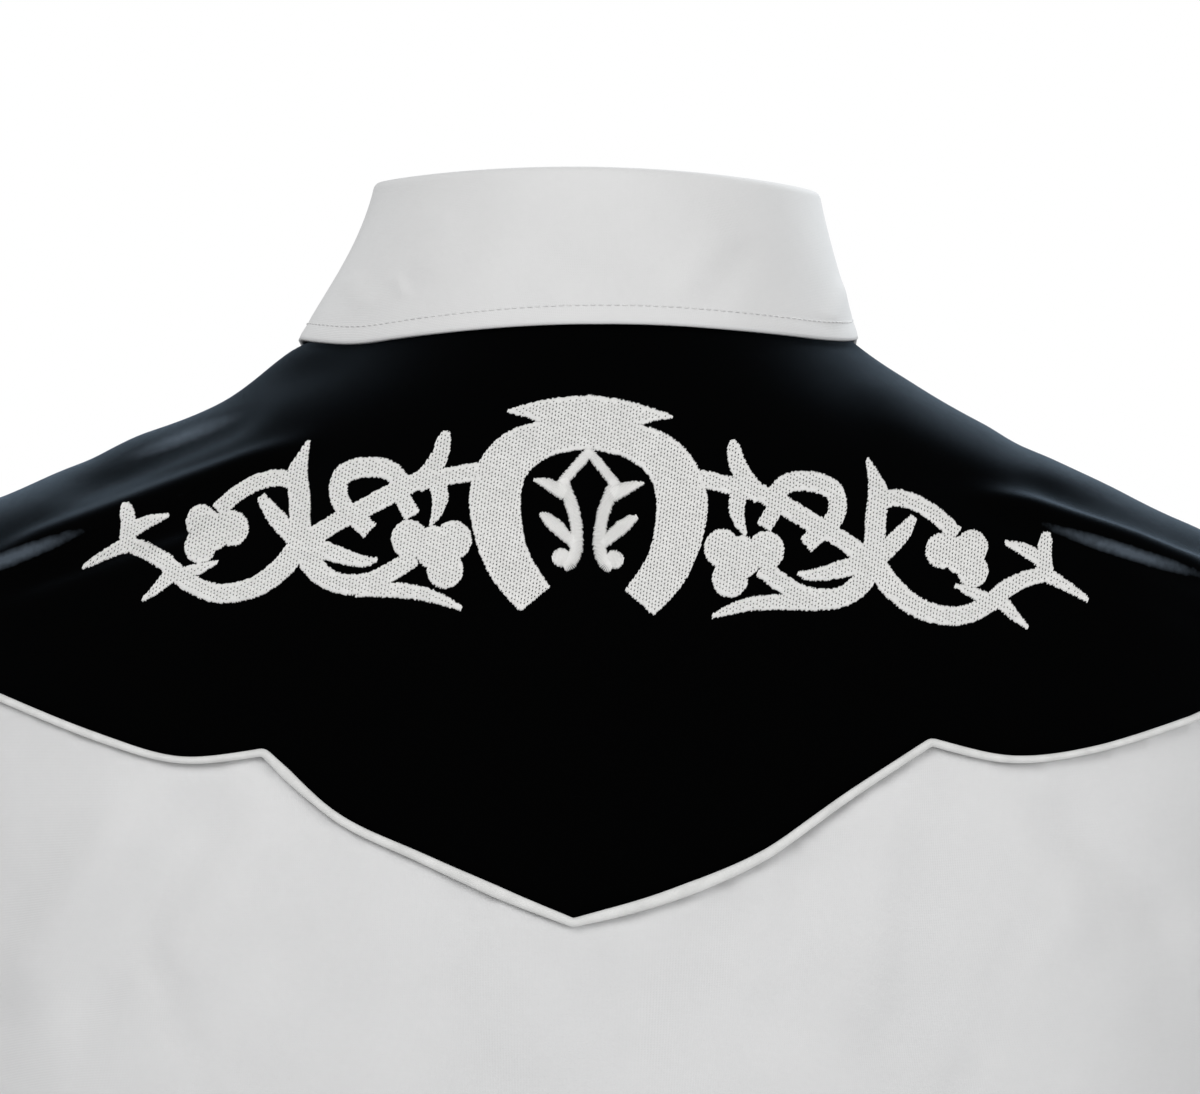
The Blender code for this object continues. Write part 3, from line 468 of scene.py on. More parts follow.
def fill(outline, flatten, cell):
    """Evenly spaced places inside an outline, in staggered lines."""
    low_angle, low_row = outline.min(axis=0)
    high_angle, high_row = outline.max(axis=0)
    lines = []
    for number, row in enumerate(steps(low_row, high_row, ceil((high_row - low_row) * ROW_HEIGHT / cell))):
        measures = catmull_rom(MEASURES, row)
        step = degrees(cell / ((measures[3] ** 2 + measures[4] ** 2) / 2.0) ** 0.5)
        lines.append(places_of(np.arange(low_angle + step * (number % 2) / 2.0, high_angle, step), row))
    places = np.vstack(lines)
    return places[inside(flatten(places), flatten(outline), cell * EDGE_MARGIN)]


def panel(outline, flatten, cell):
    """Places, triangles and flat map of a panel, moved in by half a seam gap at its outline."""
    places = np.vstack((outline, fill(outline, flatten, cell)))
    flat = flatten(places)
    rim = list(range(len(outline)))
    result = delaunay_2d_cdt([Vector(point) for point in flat], [], [rim], 1, SAME_POINT)
    order = [sources[0] for sources in result[3]]
    faces = [tuple(order[index] for index in face) for face in result[2]]
    points = body_point(*places.T)
    edge, normal = points[rim], body_normal(*outline.T)
    before = unit(np.cross(normal, edge - np.roll(edge, 1, axis=0)))
    after = unit(np.cross(normal, np.roll(edge, -1, axis=0) - edge))
    turn = np.maximum(1.0 + (before * after).sum(axis=1), SHARPEST_MITER)
    points[rim] = edge + (before + after) / turn[:, None] * SEAM_GAP / 2.0
    return points, faces, flat


# Making objects

Look = namedtuple("Look", "finish slot wall", defaults=(None,))


def put(name, data):
    """A new object in the scene."""
    made = bpy.data.objects.new(name, data)
    bpy.context.scene.collection.objects.link(made)
    return made


def new_piece(name, mesh, look, *replaced):
    """A piece of the shirt: it rides on the part's one body and stands for CAD nodes."""
    piece = put(name, mesh)
    mesh.materials.append(look.finish)
    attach(piece, "root")
    if replaced:
        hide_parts(*replaced)
    return piece


def new_mesh(name, points, faces, flat=None):
    """A mesh from points and faces, with its flat map as UVs in metres."""
    mesh = bpy.data.meshes.new(name)
    mesh.from_pydata([tuple(point) for point in points], [], [tuple(face) for face in faces])
    mesh.shade_smooth()
    if flat is not None:
        layer = mesh.uv_layers.new(name="cloth")
        corners = np.empty(len(mesh.loops), int)
        mesh.loops.foreach_get("vertex_index", corners)
        layer.data.foreach_set("uv", np.asarray(flat)[corners].ravel())
    return mesh


def shell(node, points, faces, flat, look):
    """A thin wall of cloth inwards from its outer face, in place of a CAD node."""
    name = f"{node}_cloth"
    piece = new_piece(name, new_mesh(name, points, faces, flat), look, node)
    solid = piece.modifiers.new("wall", "SOLIDIFY")
    solid.thickness = look.wall
    solid.offset = -1.0
    solid.use_quality_normals = True
    return piece


def grid_faces(rows, columns, closed=False):
    """Quads of a grid of points, in rows."""
    reach = columns if closed else columns - 1
    return [(r * columns + c, r * columns + (c + 1) % columns, (r + 1) * columns + (c + 1) % columns,
             (r + 1) * columns + c) for r in range(rows - 1) for c in range(reach)]


def cloth(node, grid, look, inner=(0.0, 0.0, 0.0), closed=False):
    """A wall of cloth on a grid of points of its outer face; inner is a point behind it."""
    rows, columns = grid.shape[:2]
    faces = grid_faces(rows, columns, closed)
    points = grid.reshape(-1, 3)
    a, b, _, d = (points[index] for index in faces[-1 - columns // 2])
    if np.dot(np.cross(b - a, d - a), a - inner) < 0:
        faces = [face[::-1] for face in faces]
    across, down = np.meshgrid(run_lengths(grid[rows // 2]), run_lengths(grid[:, columns // 2]))
    return shell(node, points, faces, np.stack((across, down), axis=-1).reshape(-1, 2), look)


# Finishes

COTTON_PITCH = 0.00052
COVER_SLANT = radians(45.0)
SATEEN_PITCH = 0.00060
SATEEN_SLANT = radians(63.0)
SATEEN_BLACK = (0.0010, 0.0010, 0.0010)
# The painted highlight's colour, laid into the sateen's black along folds
SATEEN_PAINTED_GLEAM = (0.072, 0.089, 0.110)
# A wave texture of scale 1 repeats every pi / 10
WAVE_SCALE = pi / 10.0
# Shares of a noise at which a shade is darkest and lightest
SHADE_RANGE = (0.3, 0.7)


def feed(made, **inputs):
    """Set a node's inputs to values, or link them to other nodes' outputs."""
    for name, value in inputs.items():
        socket = made.inputs[name.replace("_", " ")]
        if isinstance(value, bpy.types.NodeSocket):
            made.id_data.links.new(value, socket)
        else:
            socket.default_value = value


def add_node(tree, kind, output, settings=(), **inputs):
    """The output of a new shader node."""
    made = tree.nodes.new(kind)
    for name, value in settings:
        setattr(made, name, value)
    feed(made, **inputs)
    return made.outputs[output]


def wave_lines(tree, direction, pitch, slant=0.0):
    """Even ridges a pitch apart on the flat cloth, turned by a slant."""
    flat = add_node(tree, "ShaderNodeUVMap", "UV")
    turned = add_node(tree, "ShaderNodeMapping", "Vector", Rotation=(0.0, 0.0, slant), Vector=flat)
    return add_node(tree, "ShaderNodeTexWave", "Fac", [("bands_direction", direction)],
                    Scale=WAVE_SCALE / pitch, Vector=turned)


def noise(tree, scale, detail):
    solid = add_node(tree, "ShaderNodeTexCoord", "Object")
    return add_node(tree, "ShaderNodeTexNoise", "Fac", Scale=scale, Detail=detail, Vector=solid)


def combine(operation, first, second):
    """Two shares added or multiplied; the second may be a number."""
    made = first.id_data.nodes.new("ShaderNodeMath")
    made.operation = operation
    first.id_data.links.new(first, made.inputs[0])
    if isinstance(second, float):
        made.inputs[1].default_value = second
    else:
        first.id_data.links.new(second, made.inputs[1])
    return made.outputs["Value"]


def plus(first, second):
    return combine("ADD", first, second)


def times(first, second):
    return combine("MULTIPLY", first, second)


def shade(factor, dark, light):
    """A colour between two, by a share."""
    ramp = factor.id_data.nodes.new("ShaderNodeValToRGB")
    for stop, position, colour in zip(ramp.color_ramp.elements, SHADE_RANGE, (dark, light)):
        stop.position = position
        stop.color = (*colour, 1.0)
    feed(ramp, Fac=factor)
    return ramp.outputs["Color"]


def bump(height, strength, distance):
    return add_node(height.id_data, "ShaderNodeBump", "Normal", Strength=strength, Distance=distance,
                    Height=height)


def finish_with(name, **values):
    """A material with the values that are the same all over it, its shader and its tree."""
    made = bpy.data.materials.new(name)
    made.use_nodes = True
    shader = made.node_tree.nodes["Principled BSDF"]
    feed(shader, **values)
    return made, shader, made.node_tree


def cotton(name, dark, light):
    """Plain-woven white cotton: a fine even weave, slubs and a faint mottling."""
    made, shader, tree = finish_with(name, Roughness=0.85, Sheen_Weight=0.12, Sheen_Roughness=0.4,
                                     Specular_IOR_Level=0.25)
    weave = times(wave_lines(tree, "X", COTTON_PITCH), wave_lines(tree, "Y", COTTON_PITCH))
    slubs, mottle = noise(tree, 420.0, 4.0), noise(tree, 38.0, 5.0)
    feed(shader, Base_Color=shade(plus(times(mottle, 0.75), times(slubs, 0.25)), dark, light),
         Normal=bump(plus(weave, times(slubs, 0.9)), 0.35, 0.00012))
    return made


def painted_gleams(tree):
    """A share that is high along lines on the back, where a highlight is painted into the cloth's colour
    along its folds.
    """
    solid = add_node(tree, "ShaderNodeTexCoord", "Object")
    total = 0.0
    for x0, z0, x1, z1, share, width in PAINTED_GLEAMS:
        run_x, run_z = x1 - x0, z1 - z0
        placed = add_node(tree, "ShaderNodeMapping", "Vector", [("vector_type", "TEXTURE")],
                          Location=((x0 + x1) / 2.0, 0.0, (z0 + z1) / 2.0),
                          Rotation=(0.0, np.arctan2(-run_z, run_x), 0.0),
                          Scale=((run_x ** 2 + run_z ** 2) ** 0.5 / 2.0, PAINTED_GLEAM_DEPTH, width), Vector=solid)
        near = add_node(tree, "ShaderNodeTexGradient", "Fac", [("gradient_type", "QUADRATIC_SPHERE")],
                        Vector=placed)
        total = plus(times(near, share), total)
    return total


def sateen():
    """Black cotton sateen: fine slanting floats that catch a cool sheen at a glancing angle, with a highlight
    painted into its colour along folds on the back.
    """
    made, shader, tree = finish_with("black_sateen", Roughness=0.46, Sheen_Weight=0.42, Sheen_Roughness=0.28,
                                     Sheen_Tint=(0.62, 0.80, 1.0, 1.0), Specular_IOR_Level=0.0)
    weave = times(wave_lines(tree, "X", SATEEN_PITCH, SATEEN_SLANT),
                  wave_lines(tree, "Y", SATEEN_PITCH * 0.8))
    # Painted highlight: a lighter colour along folds on the back, broken up by a fine noise
    painted_gleam_patches = plus(times(noise(tree, 480.0, 5.0), 0.5), 0.75)
    feed(shader, Base_Color=shade(times(painted_gleams(tree), painted_gleam_patches), SATEEN_BLACK, SATEEN_PAINTED_GLEAM),
         Roughness=plus(times(noise(tree, 45.0, 4.0), 0.22), 0.34),
         Normal=bump(plus(weave, noise(tree, 900.0, 4.0)), 0.30, 0.00010))
    return made


def cord_cover():
    """The piping's cover: bias-cut white cloth with fine slanting threads."""
    made, shader, tree = finish_with("white_piping", Roughness=0.75, Sheen_Weight=0.12,
                                     Specular_IOR_Level=0.3)
    weave, mottle = wave_lines(tree, "X", COTTON_PITCH, COVER_SLANT), noise(tree, 160.0, 4.0)
    feed(shader, Base_Color=shade(mottle, (0.70, 0.70, 0.69), (0.82, 0.82, 0.81)),
         Normal=bump(plus(weave, mottle), 0.4, 0.00015))
    return made


def grained(name, dark, light, mottle, grain, relief, **values):
    """A finish whose shade wanders softly between two colours, with a fine grain."""
    made, shader, tree = finish_with(name, **values)
    feed(shader, Base_Color=shade(noise(tree, *mottle), dark, light),
         Normal=bump(noise(tree, *grain), *relief))
    return made


def thread_finish(name, dark, light, roughness=0.5):
    """Twisted sewing or embroidery thread: a soft gloss, and a shade that changes a little along it."""
    return grained(name, dark, light, (260.0, 3.0), (2600.0, 2.0), (0.25, 0.00006), Roughness=roughness,
                   Sheen_Weight=0.15, Sheen_Roughness=0.3, Specular_IOR_Level=0.4)


WHITE = Look(cotton("white_cotton", (0.725, 0.725, 0.728), (0.760, 0.760, 0.763)), "body_cotton", WALL)
FIRM_WHITE = Look(cotton("white_collar_cotton", (0.735, 0.735, 0.735), (0.768, 0.768, 0.768)), "firm_cotton",
                  FIRM_WALL)
BLACK = Look(sateen(), "yoke_sateen", WALL)
CORD = Look(cord_cover(), "piping_cord")
SEWING_THREAD = Look(thread_finish("white_sewing_thread", (0.66, 0.66, 0.66), (0.80, 0.80, 0.79)),
                     "body_cotton")
FIRM_THREAD = SEWING_THREAD._replace(slot="firm_cotton")
BLACK_THREAD = Look(thread_finish("black_sewing_thread", (0.004, 0.004, 0.004), (0.010, 0.010, 0.011)),
                    "yoke_sateen")
STITCH_THREAD = Look(thread_finish("white_embroidery_thread", (0.82, 0.815, 0.80), (0.88, 0.875, 0.86), 0.42),
                     "yoke_sateen")
# Polished off-white resin with a faint cloudy figure
PEARL = Look(grained("pearl_button", (0.70, 0.68, 0.63), (0.86, 0.85, 0.82), (220.0, 2.0), (1500.0, 2.0),
                     (0.08, 0.00003), Roughness=0.18, Coat_Weight=0.4, Coat_Roughness=0.08,
                     Specular_IOR_Level=0.6), "button_pearl")


# Body and yoke

def front_outline(edge_x):
    """The outline of a front whose edge runs at this x, on the wearer's left, with the edge last."""
    rows = edge_rows(BODY_FINE)
    edge = places_of(angle_at_x(edge_x, rows), rows)
    hem = straight(edge[0], (0.0, 0.0), 13 * BODY_FINE)
    side = places_of(0.0, steps(0.0, UNDERARM, SIDE_COUNT * BODY_FINE))
    hole = armhole_place(steps(0.5, YOKE_FRONT_TURN, ARMHOLE_COUNT * BODY_FINE))
    neckline = straight((YOKE_FRONT_ANGLE, float(NECK)), edge[-1], 6 * BODY_FINE)
    return np.vstack((hem[1:], side[1:], hole[1:], front_seam(BODY_FINE)[1:], neckline[1:-1], edge[::-1]))


def make_back():
    side = places_of(0.0, steps(0.0, UNDERARM, SIDE_COUNT * BODY_FINE))
    hole = armhole_place(steps(0.5, YOKE_BACK_TURN, ARMHOLE_COUNT * YOKE_FINE))
    left = np.vstack((side, hole[1:]))
    hem = places_of(steps(0.0, 180.0, HEM_COUNT * BODY_FINE), 0.0)
    outline = np.vstack((hem[:-1], mirrored(left), back_seam(YOKE_FINE)[::-1][1:], left[-2:0:-1]))
    return shell("back", *panel(outline, flat_panel, BODY_CELL), WHITE)


def make_fronts():
    """Both fronts; the right one goes on under the placket as a step."""
    left = shell("front_left", *panel(front_outline(PLACKET_HALF_WIDTH), flat_panel, BODY_CELL), WHITE)
    points, faces, flat = panel(mirrored(front_outline(UNDERLAP_START))[::-1], flat_panel, BODY_CELL)
    rows = edge_rows(BODY_FINE)
    last = np.arange(len(rows))
    for x in steps(-PLACKET_HALF_WIDTH - LAYER_GAP, UNDERLAP_EDGE, 6):
        angles = angle_at_x(x, rows)
        line = np.arange(len(points), len(points) + len(rows))
        points = np.vstack((points, body_point(angles, rows, -UNDERLAP_STEP)))
        flat = np.vstack((flat, flat_panel(places_of(angles, rows))))
        faces += [(last[i], line[i], line[i + 1], last[i + 1]) for i in range(len(rows) - 1)]
        last = line
    return left, shell("front_right", points, faces, flat, WHITE)


def make_yoke():
    over = np.vstack((armhole_place(steps(YOKE_FRONT_TURN, 1.0, 18)),
                      armhole_place(steps(0.0, YOKE_BACK_TURN, 20))[1:]))
    neckline = straight((180.0 - YOKE_FRONT_ANGLE, NECK), (YOKE_FRONT_ANGLE, NECK), 136)
    front = front_seam(YOKE_FINE)
    outline = np.vstack((over[:-1], back_seam(YOKE_FINE), mirrored(over[:-1])[::-1], mirrored(front)[1:],
                         neckline[1:], front[::-1][1:-1]))
    return shell("yoke", *panel(outline, flat_yoke, YOKE_CELL), BLACK)


def make_placket():
    """The button band: slightly crowned between its two rows of stitching."""
    rows = edge_rows(YOKE_FINE)
    columns = []
    for x in steps(PLACKET_HALF_WIDTH - SEAM_GAP, -PLACKET_HALF_WIDTH, 20):
        crown = cos(pi * (abs(x) - PLACKET_CREST) / PLACKET_RIDGE) ** 2 if abs(x) > PLACKET_FLAT else 1.0
        columns.append(body_point(angle_at_x(x, rows), rows, PLACKET_CROWN * (crown - 1.0)))
    grid = np.stack(columns, axis=1)
    return cloth("placket", grid, FIRM_WHITE, (0.0, 0.0, grid[-1, 0, 2]))


# Collar

def stand_height(angle):
    """Height of the collar band; angles past the centre front are on its lapped ends."""
    from_back = np.abs(angle - 90.0)
    height = STAND_HEIGHT_BACK + (STAND_HEIGHT_FRONT - STAND_HEIGHT_BACK) * smooth(from_back / 180.0)
    past = np.maximum(from_back - 180.0 + STAND_LAP_ANGLE * 0.5, 0.0) / (STAND_LAP_ANGLE * 1.5)
    return height + (STAND_HEIGHT_END - STAND_HEIGHT_FRONT) * past ** 2


def neck_frame(angle):
    """Base points and outward directions of the collar band; its left end laps over."""
    row = TORSO[NECK]
    across, along = np.cos(np.radians(angle)), np.sin(np.radians(angle))
    depth = np.where(along >= 0, row.back, row.front)
    level = np.stack((across / row.half_width, along / depth, np.zeros(angle.shape)), axis=-1)
    out = unit(level - (level @ UP_LEAN)[..., None] * UP_LEAN)
    lap = STAND_LAP_STEP * smooth((STAND_LAP_START - angle) / STAND_LAP_RUN)
    base = plain_point(angle, np.full(angle.shape, float(NECK))) + UP_LEAN * LAYER_GAP
    return base + out * lap[..., None], out


def make_stand():
    angles = steps(-90.0 - STAND_LAP_ANGLE, 270.0 + STAND_LAP_ANGLE, 200)
    base, _ = neck_frame(angles)
    height = stand_height(angles)
    grid = np.array([base + UP_LEAN * (height * share)[:, None] for share in steps(0.0, 1.0, 10)])
    return cloth("collar_stand", grid, FIRM_WHITE)


def leaf_grid(lines, roll, fall):
    """Points on the leaf's upper face: lines by steps from the band's top over the fold to the outer edge."""
    share = steps(0.0, 1.0, lines)
    at = (1.0 - np.abs(2.0 * share - 1.0)) * (len(LEAF_LINES) - 1)
    fold, angle, row = np.moveaxis(catmull_rom(LEAF_LINES, at), -1, 0)
    fold = np.where(share > 0.5, 180.0 - fold, fold)
    angle = np.where(share > 0.5, 180.0 - angle, angle)
    row = row - LEAF_TILT * np.cos(np.radians(angle))
    base, out = neck_frame(fold)
    start = base + UP_LEAN * (stand_height(fold) + LAYER_GAP)[:, None] - out * FIRM_WALL
    centre = start + UP_LEAN * LEAF_RISE + out * LEAF_ROLL_RADIUS
    columns = [start]
    for swing in steps(pi, radians(LEAF_ROLL_EXIT), roll):
        columns.append(centre + (out * cos(swing) + UP_LEAN * sin(swing)) * LEAF_ROLL_RADIUS)
    start = columns[-1]
    edge = body_point(angle, row, FIRM_WALL + LAYER_GAP)
    reach = np.linalg.norm(edge - start, axis=1)[:, None]
    leave = (out * sin(radians(LEAF_ROLL_EXIT)) - UP_LEAN * cos(radians(LEAF_ROLL_EXIT))) * reach
    return np.stack(columns + bridge(start, leave, edge, edge - start, steps(0.0, 1.0, fall)[1:]), axis=1)


def make_leaf():
    """The fold-down collar: its edge seam stands up a little, its topstitching lies in a shallow groove."""
    grid = leaf_grid(*LEAF_GRID)
    normals = unit(np.cross(np.gradient(grid, axis=1), np.gradient(grid, axis=0)))
    if normals[len(grid) // 2, -5, 1] < 0:
        normals = -normals
    distance = run_lengths(grid[:, ::-1])[:, ::-1]
    groove = -LEAF_GROOVE * bell((distance - TOPSTITCH) / LEAF_GROOVE_WIDTH)
    seam = LEAF_SEAM * bell((distance - LEAF_SEAM_IN) / LEAF_SEAM_WIDTH)
    creases = fold_height(grid, LEAF_CREASES) * (0.35 + 0.65 * smooth((distance - 0.001) / 0.006))
    grid = grid + normals * (groove + seam + creases)[..., None]
    piece = cloth("collar_leaf", grid.transpose(1, 0, 2), FIRM_WHITE)
    return piece, grid, normals, distance


# Sleeves and cuffs

def arm_frame(along):
    """Centres and half sizes of the arm at distances down it."""
    position = np.interp(along, RINGS[:, 0], np.arange(len(RINGS)))
    _, wide, deep, forward = np.moveaxis(catmull_rom(RINGS, position), -1, 0)
    return ARM_JOINT + ARM_DOWN * np.asarray(along)[..., None] - BACKWARD * forward[..., None], wide, deep


def oval(centre, wide, deep, turn):
    """Points on ovals round the arm."""
    swing = 2 * pi * turn
    return centre + ARM_OUT * (wide * np.cos(swing))[..., None] + BACKWARD * (deep * np.sin(swing))[..., None]


def sleeve_lift(turn, along):
    """How far folds lift the sleeve's cloth, and small uneven pleats where it is gathered into the cuff."""
    total = np.zeros(np.broadcast(turn, along).shape)
    for fold_turn, distance, height, width, reach, slope in SLEEVE_FOLDS:
        off = (turn - fold_turn + 0.5) % 1.0 - 0.5
        total += height * bell((along - distance - slope * off) / width) * bell(off / reach)
    waves = np.cos(2 * pi * (PLEAT_COUNT * turn + 0.22 * np.sin(2 * pi * 3 * turn)))
    strength = smooth((along - 0.545) / 0.045) * (1.0 - 0.75 * smooth((along - 0.592) / 0.020))
    return total + PLEAT_HEIGHT * waves * strength * (0.55 + 0.45 * np.sin(2 * pi * 2 * turn + 0.8))


def ring_point(turn, along):
    """Points on the lower sleeve, as ovals round the arm."""
    centre, wide, deep = arm_frame(np.full(len(turn), along))
    lift = sleeve_lift(turn, along)
    return oval(centre, wide + lift, deep + lift, turn)


def sleeve_grid(around, head, arm):
    """Points of the left sleeve's outer face, from the armhole to the cuff."""
    turns = steps(0.0, 1.0, around)[:-1]
    first = RINGS[0, 0]
    start, end = body_point(*armhole_place(turns).T), ring_point(turns, first)
    reach = np.linalg.norm(end - start, axis=1)[:, None]
    leave = np.array((cos(SLEEVE_HEAD_SLOPE), 0.0, -sin(SLEEVE_HEAD_SLOPE))) * reach
    arrive = unit(ring_point(turns, first + 0.02) - end) * reach
    grid = np.array(bridge(start, leave, end, arrive, steps(0.0, 1.0, head))
                    + [ring_point(turns, along) for along in steps(first, WRIST, arm)[1:]])
    grid[0] += unit(grid[1] - grid[0]) * SEAM_GAP / 2
    return grid


def make_sleeve(name, side):
    grid = sleeve_grid(*SLEEVE_GRID) * (side, 1.0, 1.0)
    return cloth(f"sleeve_{name}", grid, WHITE, grid[-2].mean(axis=0), closed=True)


def cuff_point(turn, fall):
    """Points on the left cuff; turns go once round and on over the lap."""
    centre, wide, deep = arm_frame(WRIST)
    axis = unit(centre - arm_frame(WRIST - CUFF_AXIS_REACH)[0])
    lift = STAND_LAP_STEP * smooth((turn - 0.85) / 0.14)
    centre = centre + axis * (np.asarray(fall) + LAYER_GAP)[..., None]
    return oval(centre, wide + lift, deep + lift, turn + CUFF_OPEN_TURN)


def make_cuff(name, side):
    """A cuff, with faint waves that end before the lap and a groove near both edges."""
    turns, falls = np.meshgrid(steps(0.0, 1.0 + CUFF_LAP_TURN, 150), steps(0.0, CUFF_HEIGHT, 26))
    grid = cuff_point(turns, falls)
    outward = unit(grid - grid.mean(axis=1, keepdims=True))
    wave = (0.0003 * np.sin(2 * pi * 3 * turns + 40.0 * falls)
            + 0.0002 * np.sin(2 * pi * 5 * turns - 70.0 * falls))
    to_edge = np.minimum(falls, CUFF_HEIGHT - falls)
    groove = -CUFF_GROOVE * bell((to_edge - CUFF_STITCHING) / CUFF_GROOVE_WIDTH)
    lift = wave * (1.0 - smooth((turns - 0.90) / 0.05)) + groove
    grid = (grid + outward * lift[..., None]) * (side, 1.0, 1.0)
    return cloth(f"cuff_{name}", grid, FIRM_WHITE, grid[1].mean(axis=0))


# Threads and cords: closed tubes in one mesh

def tubes(name, centres, normals, side_radius, up_radius, sides, look, *replaced):
    """Tubes along lines of stations (tube, station, xyz); normals give each tube's up side."""
    count, stations = centres.shape[:2]
    along = unit(np.gradient(centres, axis=1))
    side = unit(np.cross(along, np.broadcast_to(normals, centres.shape)))
    up = np.cross(side, along)
    swing = 2 * pi * np.arange(sides) / sides
    wide = np.broadcast_to(side_radius, (count, stations))[:, :, None, None] * np.cos(swing)[:, None]
    high = np.broadcast_to(up_radius, (count, stations))[:, :, None, None] * np.sin(swing)[:, None]
    points = (centres[:, :, None] + side[:, :, None] * wide + up[:, :, None] * high).reshape(-1, 3)
    base = (np.arange(count) * stations * sides)[:, None, None]
    r, c = np.meshgrid(np.arange(stations - 1), np.arange(sides), indexing="ij")
    after = (c + 1) % sides
    near, far = r * sides, (r + 1) * sides
    quads = np.stack((near + c, near + after, far + after, far + c), axis=-1)
    quads = (base[..., None] + quads[None]).reshape(-1, 4)[:, ::-1]
    first = base[:, 0] + np.arange(sides)
    last = base[:, 0] + (stations - 1) * sides + np.arange(sides)[::-1]
    flat = np.broadcast_arrays(run_lengths(centres)[:, :, None], np.mean(side_radius) * swing[None, None, :])
    mesh = new_mesh(name, points, quads.tolist() + first.tolist() + last.tolist(),
                    np.stack(flat, axis=-1).reshape(-1, 2))
    new_piece(name, mesh, look, *replaced)


def stitches(line, normals):
    """Centres and normals of running stitches along a line on cloth: (stitch, station, xyz)."""
    lengths = run_lengths(line)
    count = int(lengths[-1] / STITCH_PITCH)
    shares = steps(0.0, STITCH_LENGTH / STITCH_PITCH, len(STITCH_LIFTS) - 1)
    at = (np.arange(count)[:, None] + STITCH_START + shares) * lengths[-1] / count
    centres, up = (np.stack([np.interp(at, lengths, column) for column in values.T], axis=-1)
                   for values in (line, normals))
    up = unit(up)
    return centres + up * (STITCH_LIFTS * STITCH_RADIUS)[:, None], up


def sew(name, runs, look):
    """One piece of topstitching from several runs of stitches."""
    centres, normals = (np.vstack(values) for values in zip(*runs))
    tubes(name, centres, normals, STITCH_RADIUS, STITCH_RADIUS * 0.9, THREAD_SIDES, look)


# Trim

def make_piping():
    """The corded edging on the yoke's back seam, its corners softened and its ends drawn in."""
    places = back_seam(PIPING_FINE)
    line = body_point(*places.T, SEAM_GAP + PIPING_RADIUS)
    for _ in range(PIPING_SOFTENING):
        line[1:-1] = (line[:-2] + 2.0 * line[1:-1] + line[2:]) / 4.0
    trim = 1 + int(3 * PIPING_FINE * PIPING_END_SHARE)
    line, normals = line[trim:-trim], body_normal(*places.T)[trim:-trim]
    spread = np.interp(line[:, 0], *PIPING_SPREAD.T)
    tubes("piping_cord", line[None], normals[None], spread, PIPING_RADIUS, PIPING_SIDES, CORD, "piping")


def disc_mesh(name, profile, sides):
    """A solid turned from a profile of radius and height, from its back to its front."""
    swing = 2 * pi * np.arange(sides) / sides
    points = [(r * np.cos(swing), r * np.sin(swing), np.full(sides, h)) for r, h in profile]
    end = (len(profile) - 1) * sides
    faces = grid_faces(len(profile), sides, closed=True)
    faces += [tuple(range(sides))[::-1], tuple(range(end, end + sides))]
    return new_mesh(name, np.array(points).transpose(0, 2, 1).reshape(-1, 3), faces)


def button_mesh():
    """A four-hole button with a raised rim; its middle lies at the origin and its face towards +Z."""
    half = BUTTON_THICKNESS / 2
    profile = ((0.0030, -half), (0.0048, -half), (0.0055, -half + 0.0005), (BUTTON_RADIUS, -half + 0.0011),
               (BUTTON_RADIUS, half - 0.0007), (0.0054, half - 0.0001), (0.0049, half),
               (0.0044, half - 0.0002), (0.0040, half - 0.0007), (0.0020, half - BUTTON_HOLLOW))
    body = put("button_blank", disc_mesh("button_blank", profile, 40))
    cutters = []
    for x in (-BUTTON_HOLE_OFFSET, BUTTON_HOLE_OFFSET):
        for y in (-BUTTON_HOLE_OFFSET, BUTTON_HOLE_OFFSET):
            cutter = put("button_hole",
                         disc_mesh("button_hole", ((BUTTON_HOLE, -2 * half), (BUTTON_HOLE, 2 * half)), 16))
            cutter.location = (x, y, 0.0)
            cut = body.modifiers.new("hole", "BOOLEAN")
            cut.operation = "DIFFERENCE"
            cut.object = cutter
            cutters.append(cutter)
    mesh = bpy.data.meshes.new_from_object(body.evaluated_get(bpy.context.evaluated_depsgraph_get()))
    for old in (body, *cutters):
        bpy.data.objects.remove(old, do_unlink=True)
    mesh.name = "button"
    mesh.shade_smooth()
    mesh.set_sharp_from_angle(angle=radians(35.0))
    return mesh


def button_places():
    """Name, place on the cloth and outward direction of each button."""
    places = []
    for number, row in enumerate(FRONT_BUTTON_ROWS, start=1):
        angle = angle_at_x(0.0, row)
        places.append((f"button_front_{number}", body_point(angle, row), body_normal(angle, row)))
    base, out = neck_frame(np.array([-90.0]))
    places.append(("button_collar", base[0] + UP_LEAN * STAND_HEIGHT_FRONT * 0.5, out[0]))
    turn, fall = 1.0 + CUFF_LAP_TURN / 2, CUFF_HEIGHT / 2
    place = cuff_point(turn, fall)
    around = cuff_point(turn + 0.01, fall) - cuff_point(turn - 0.01, fall)
    normal = unit(np.cross(around, cuff_point(turn, 0.0) - place))
    for name, side in SIDES:
        places.append((f"button_cuff_{name}", place * (side, 1.0, 1.0), normal * (side, 1.0, 1.0)))
    return places


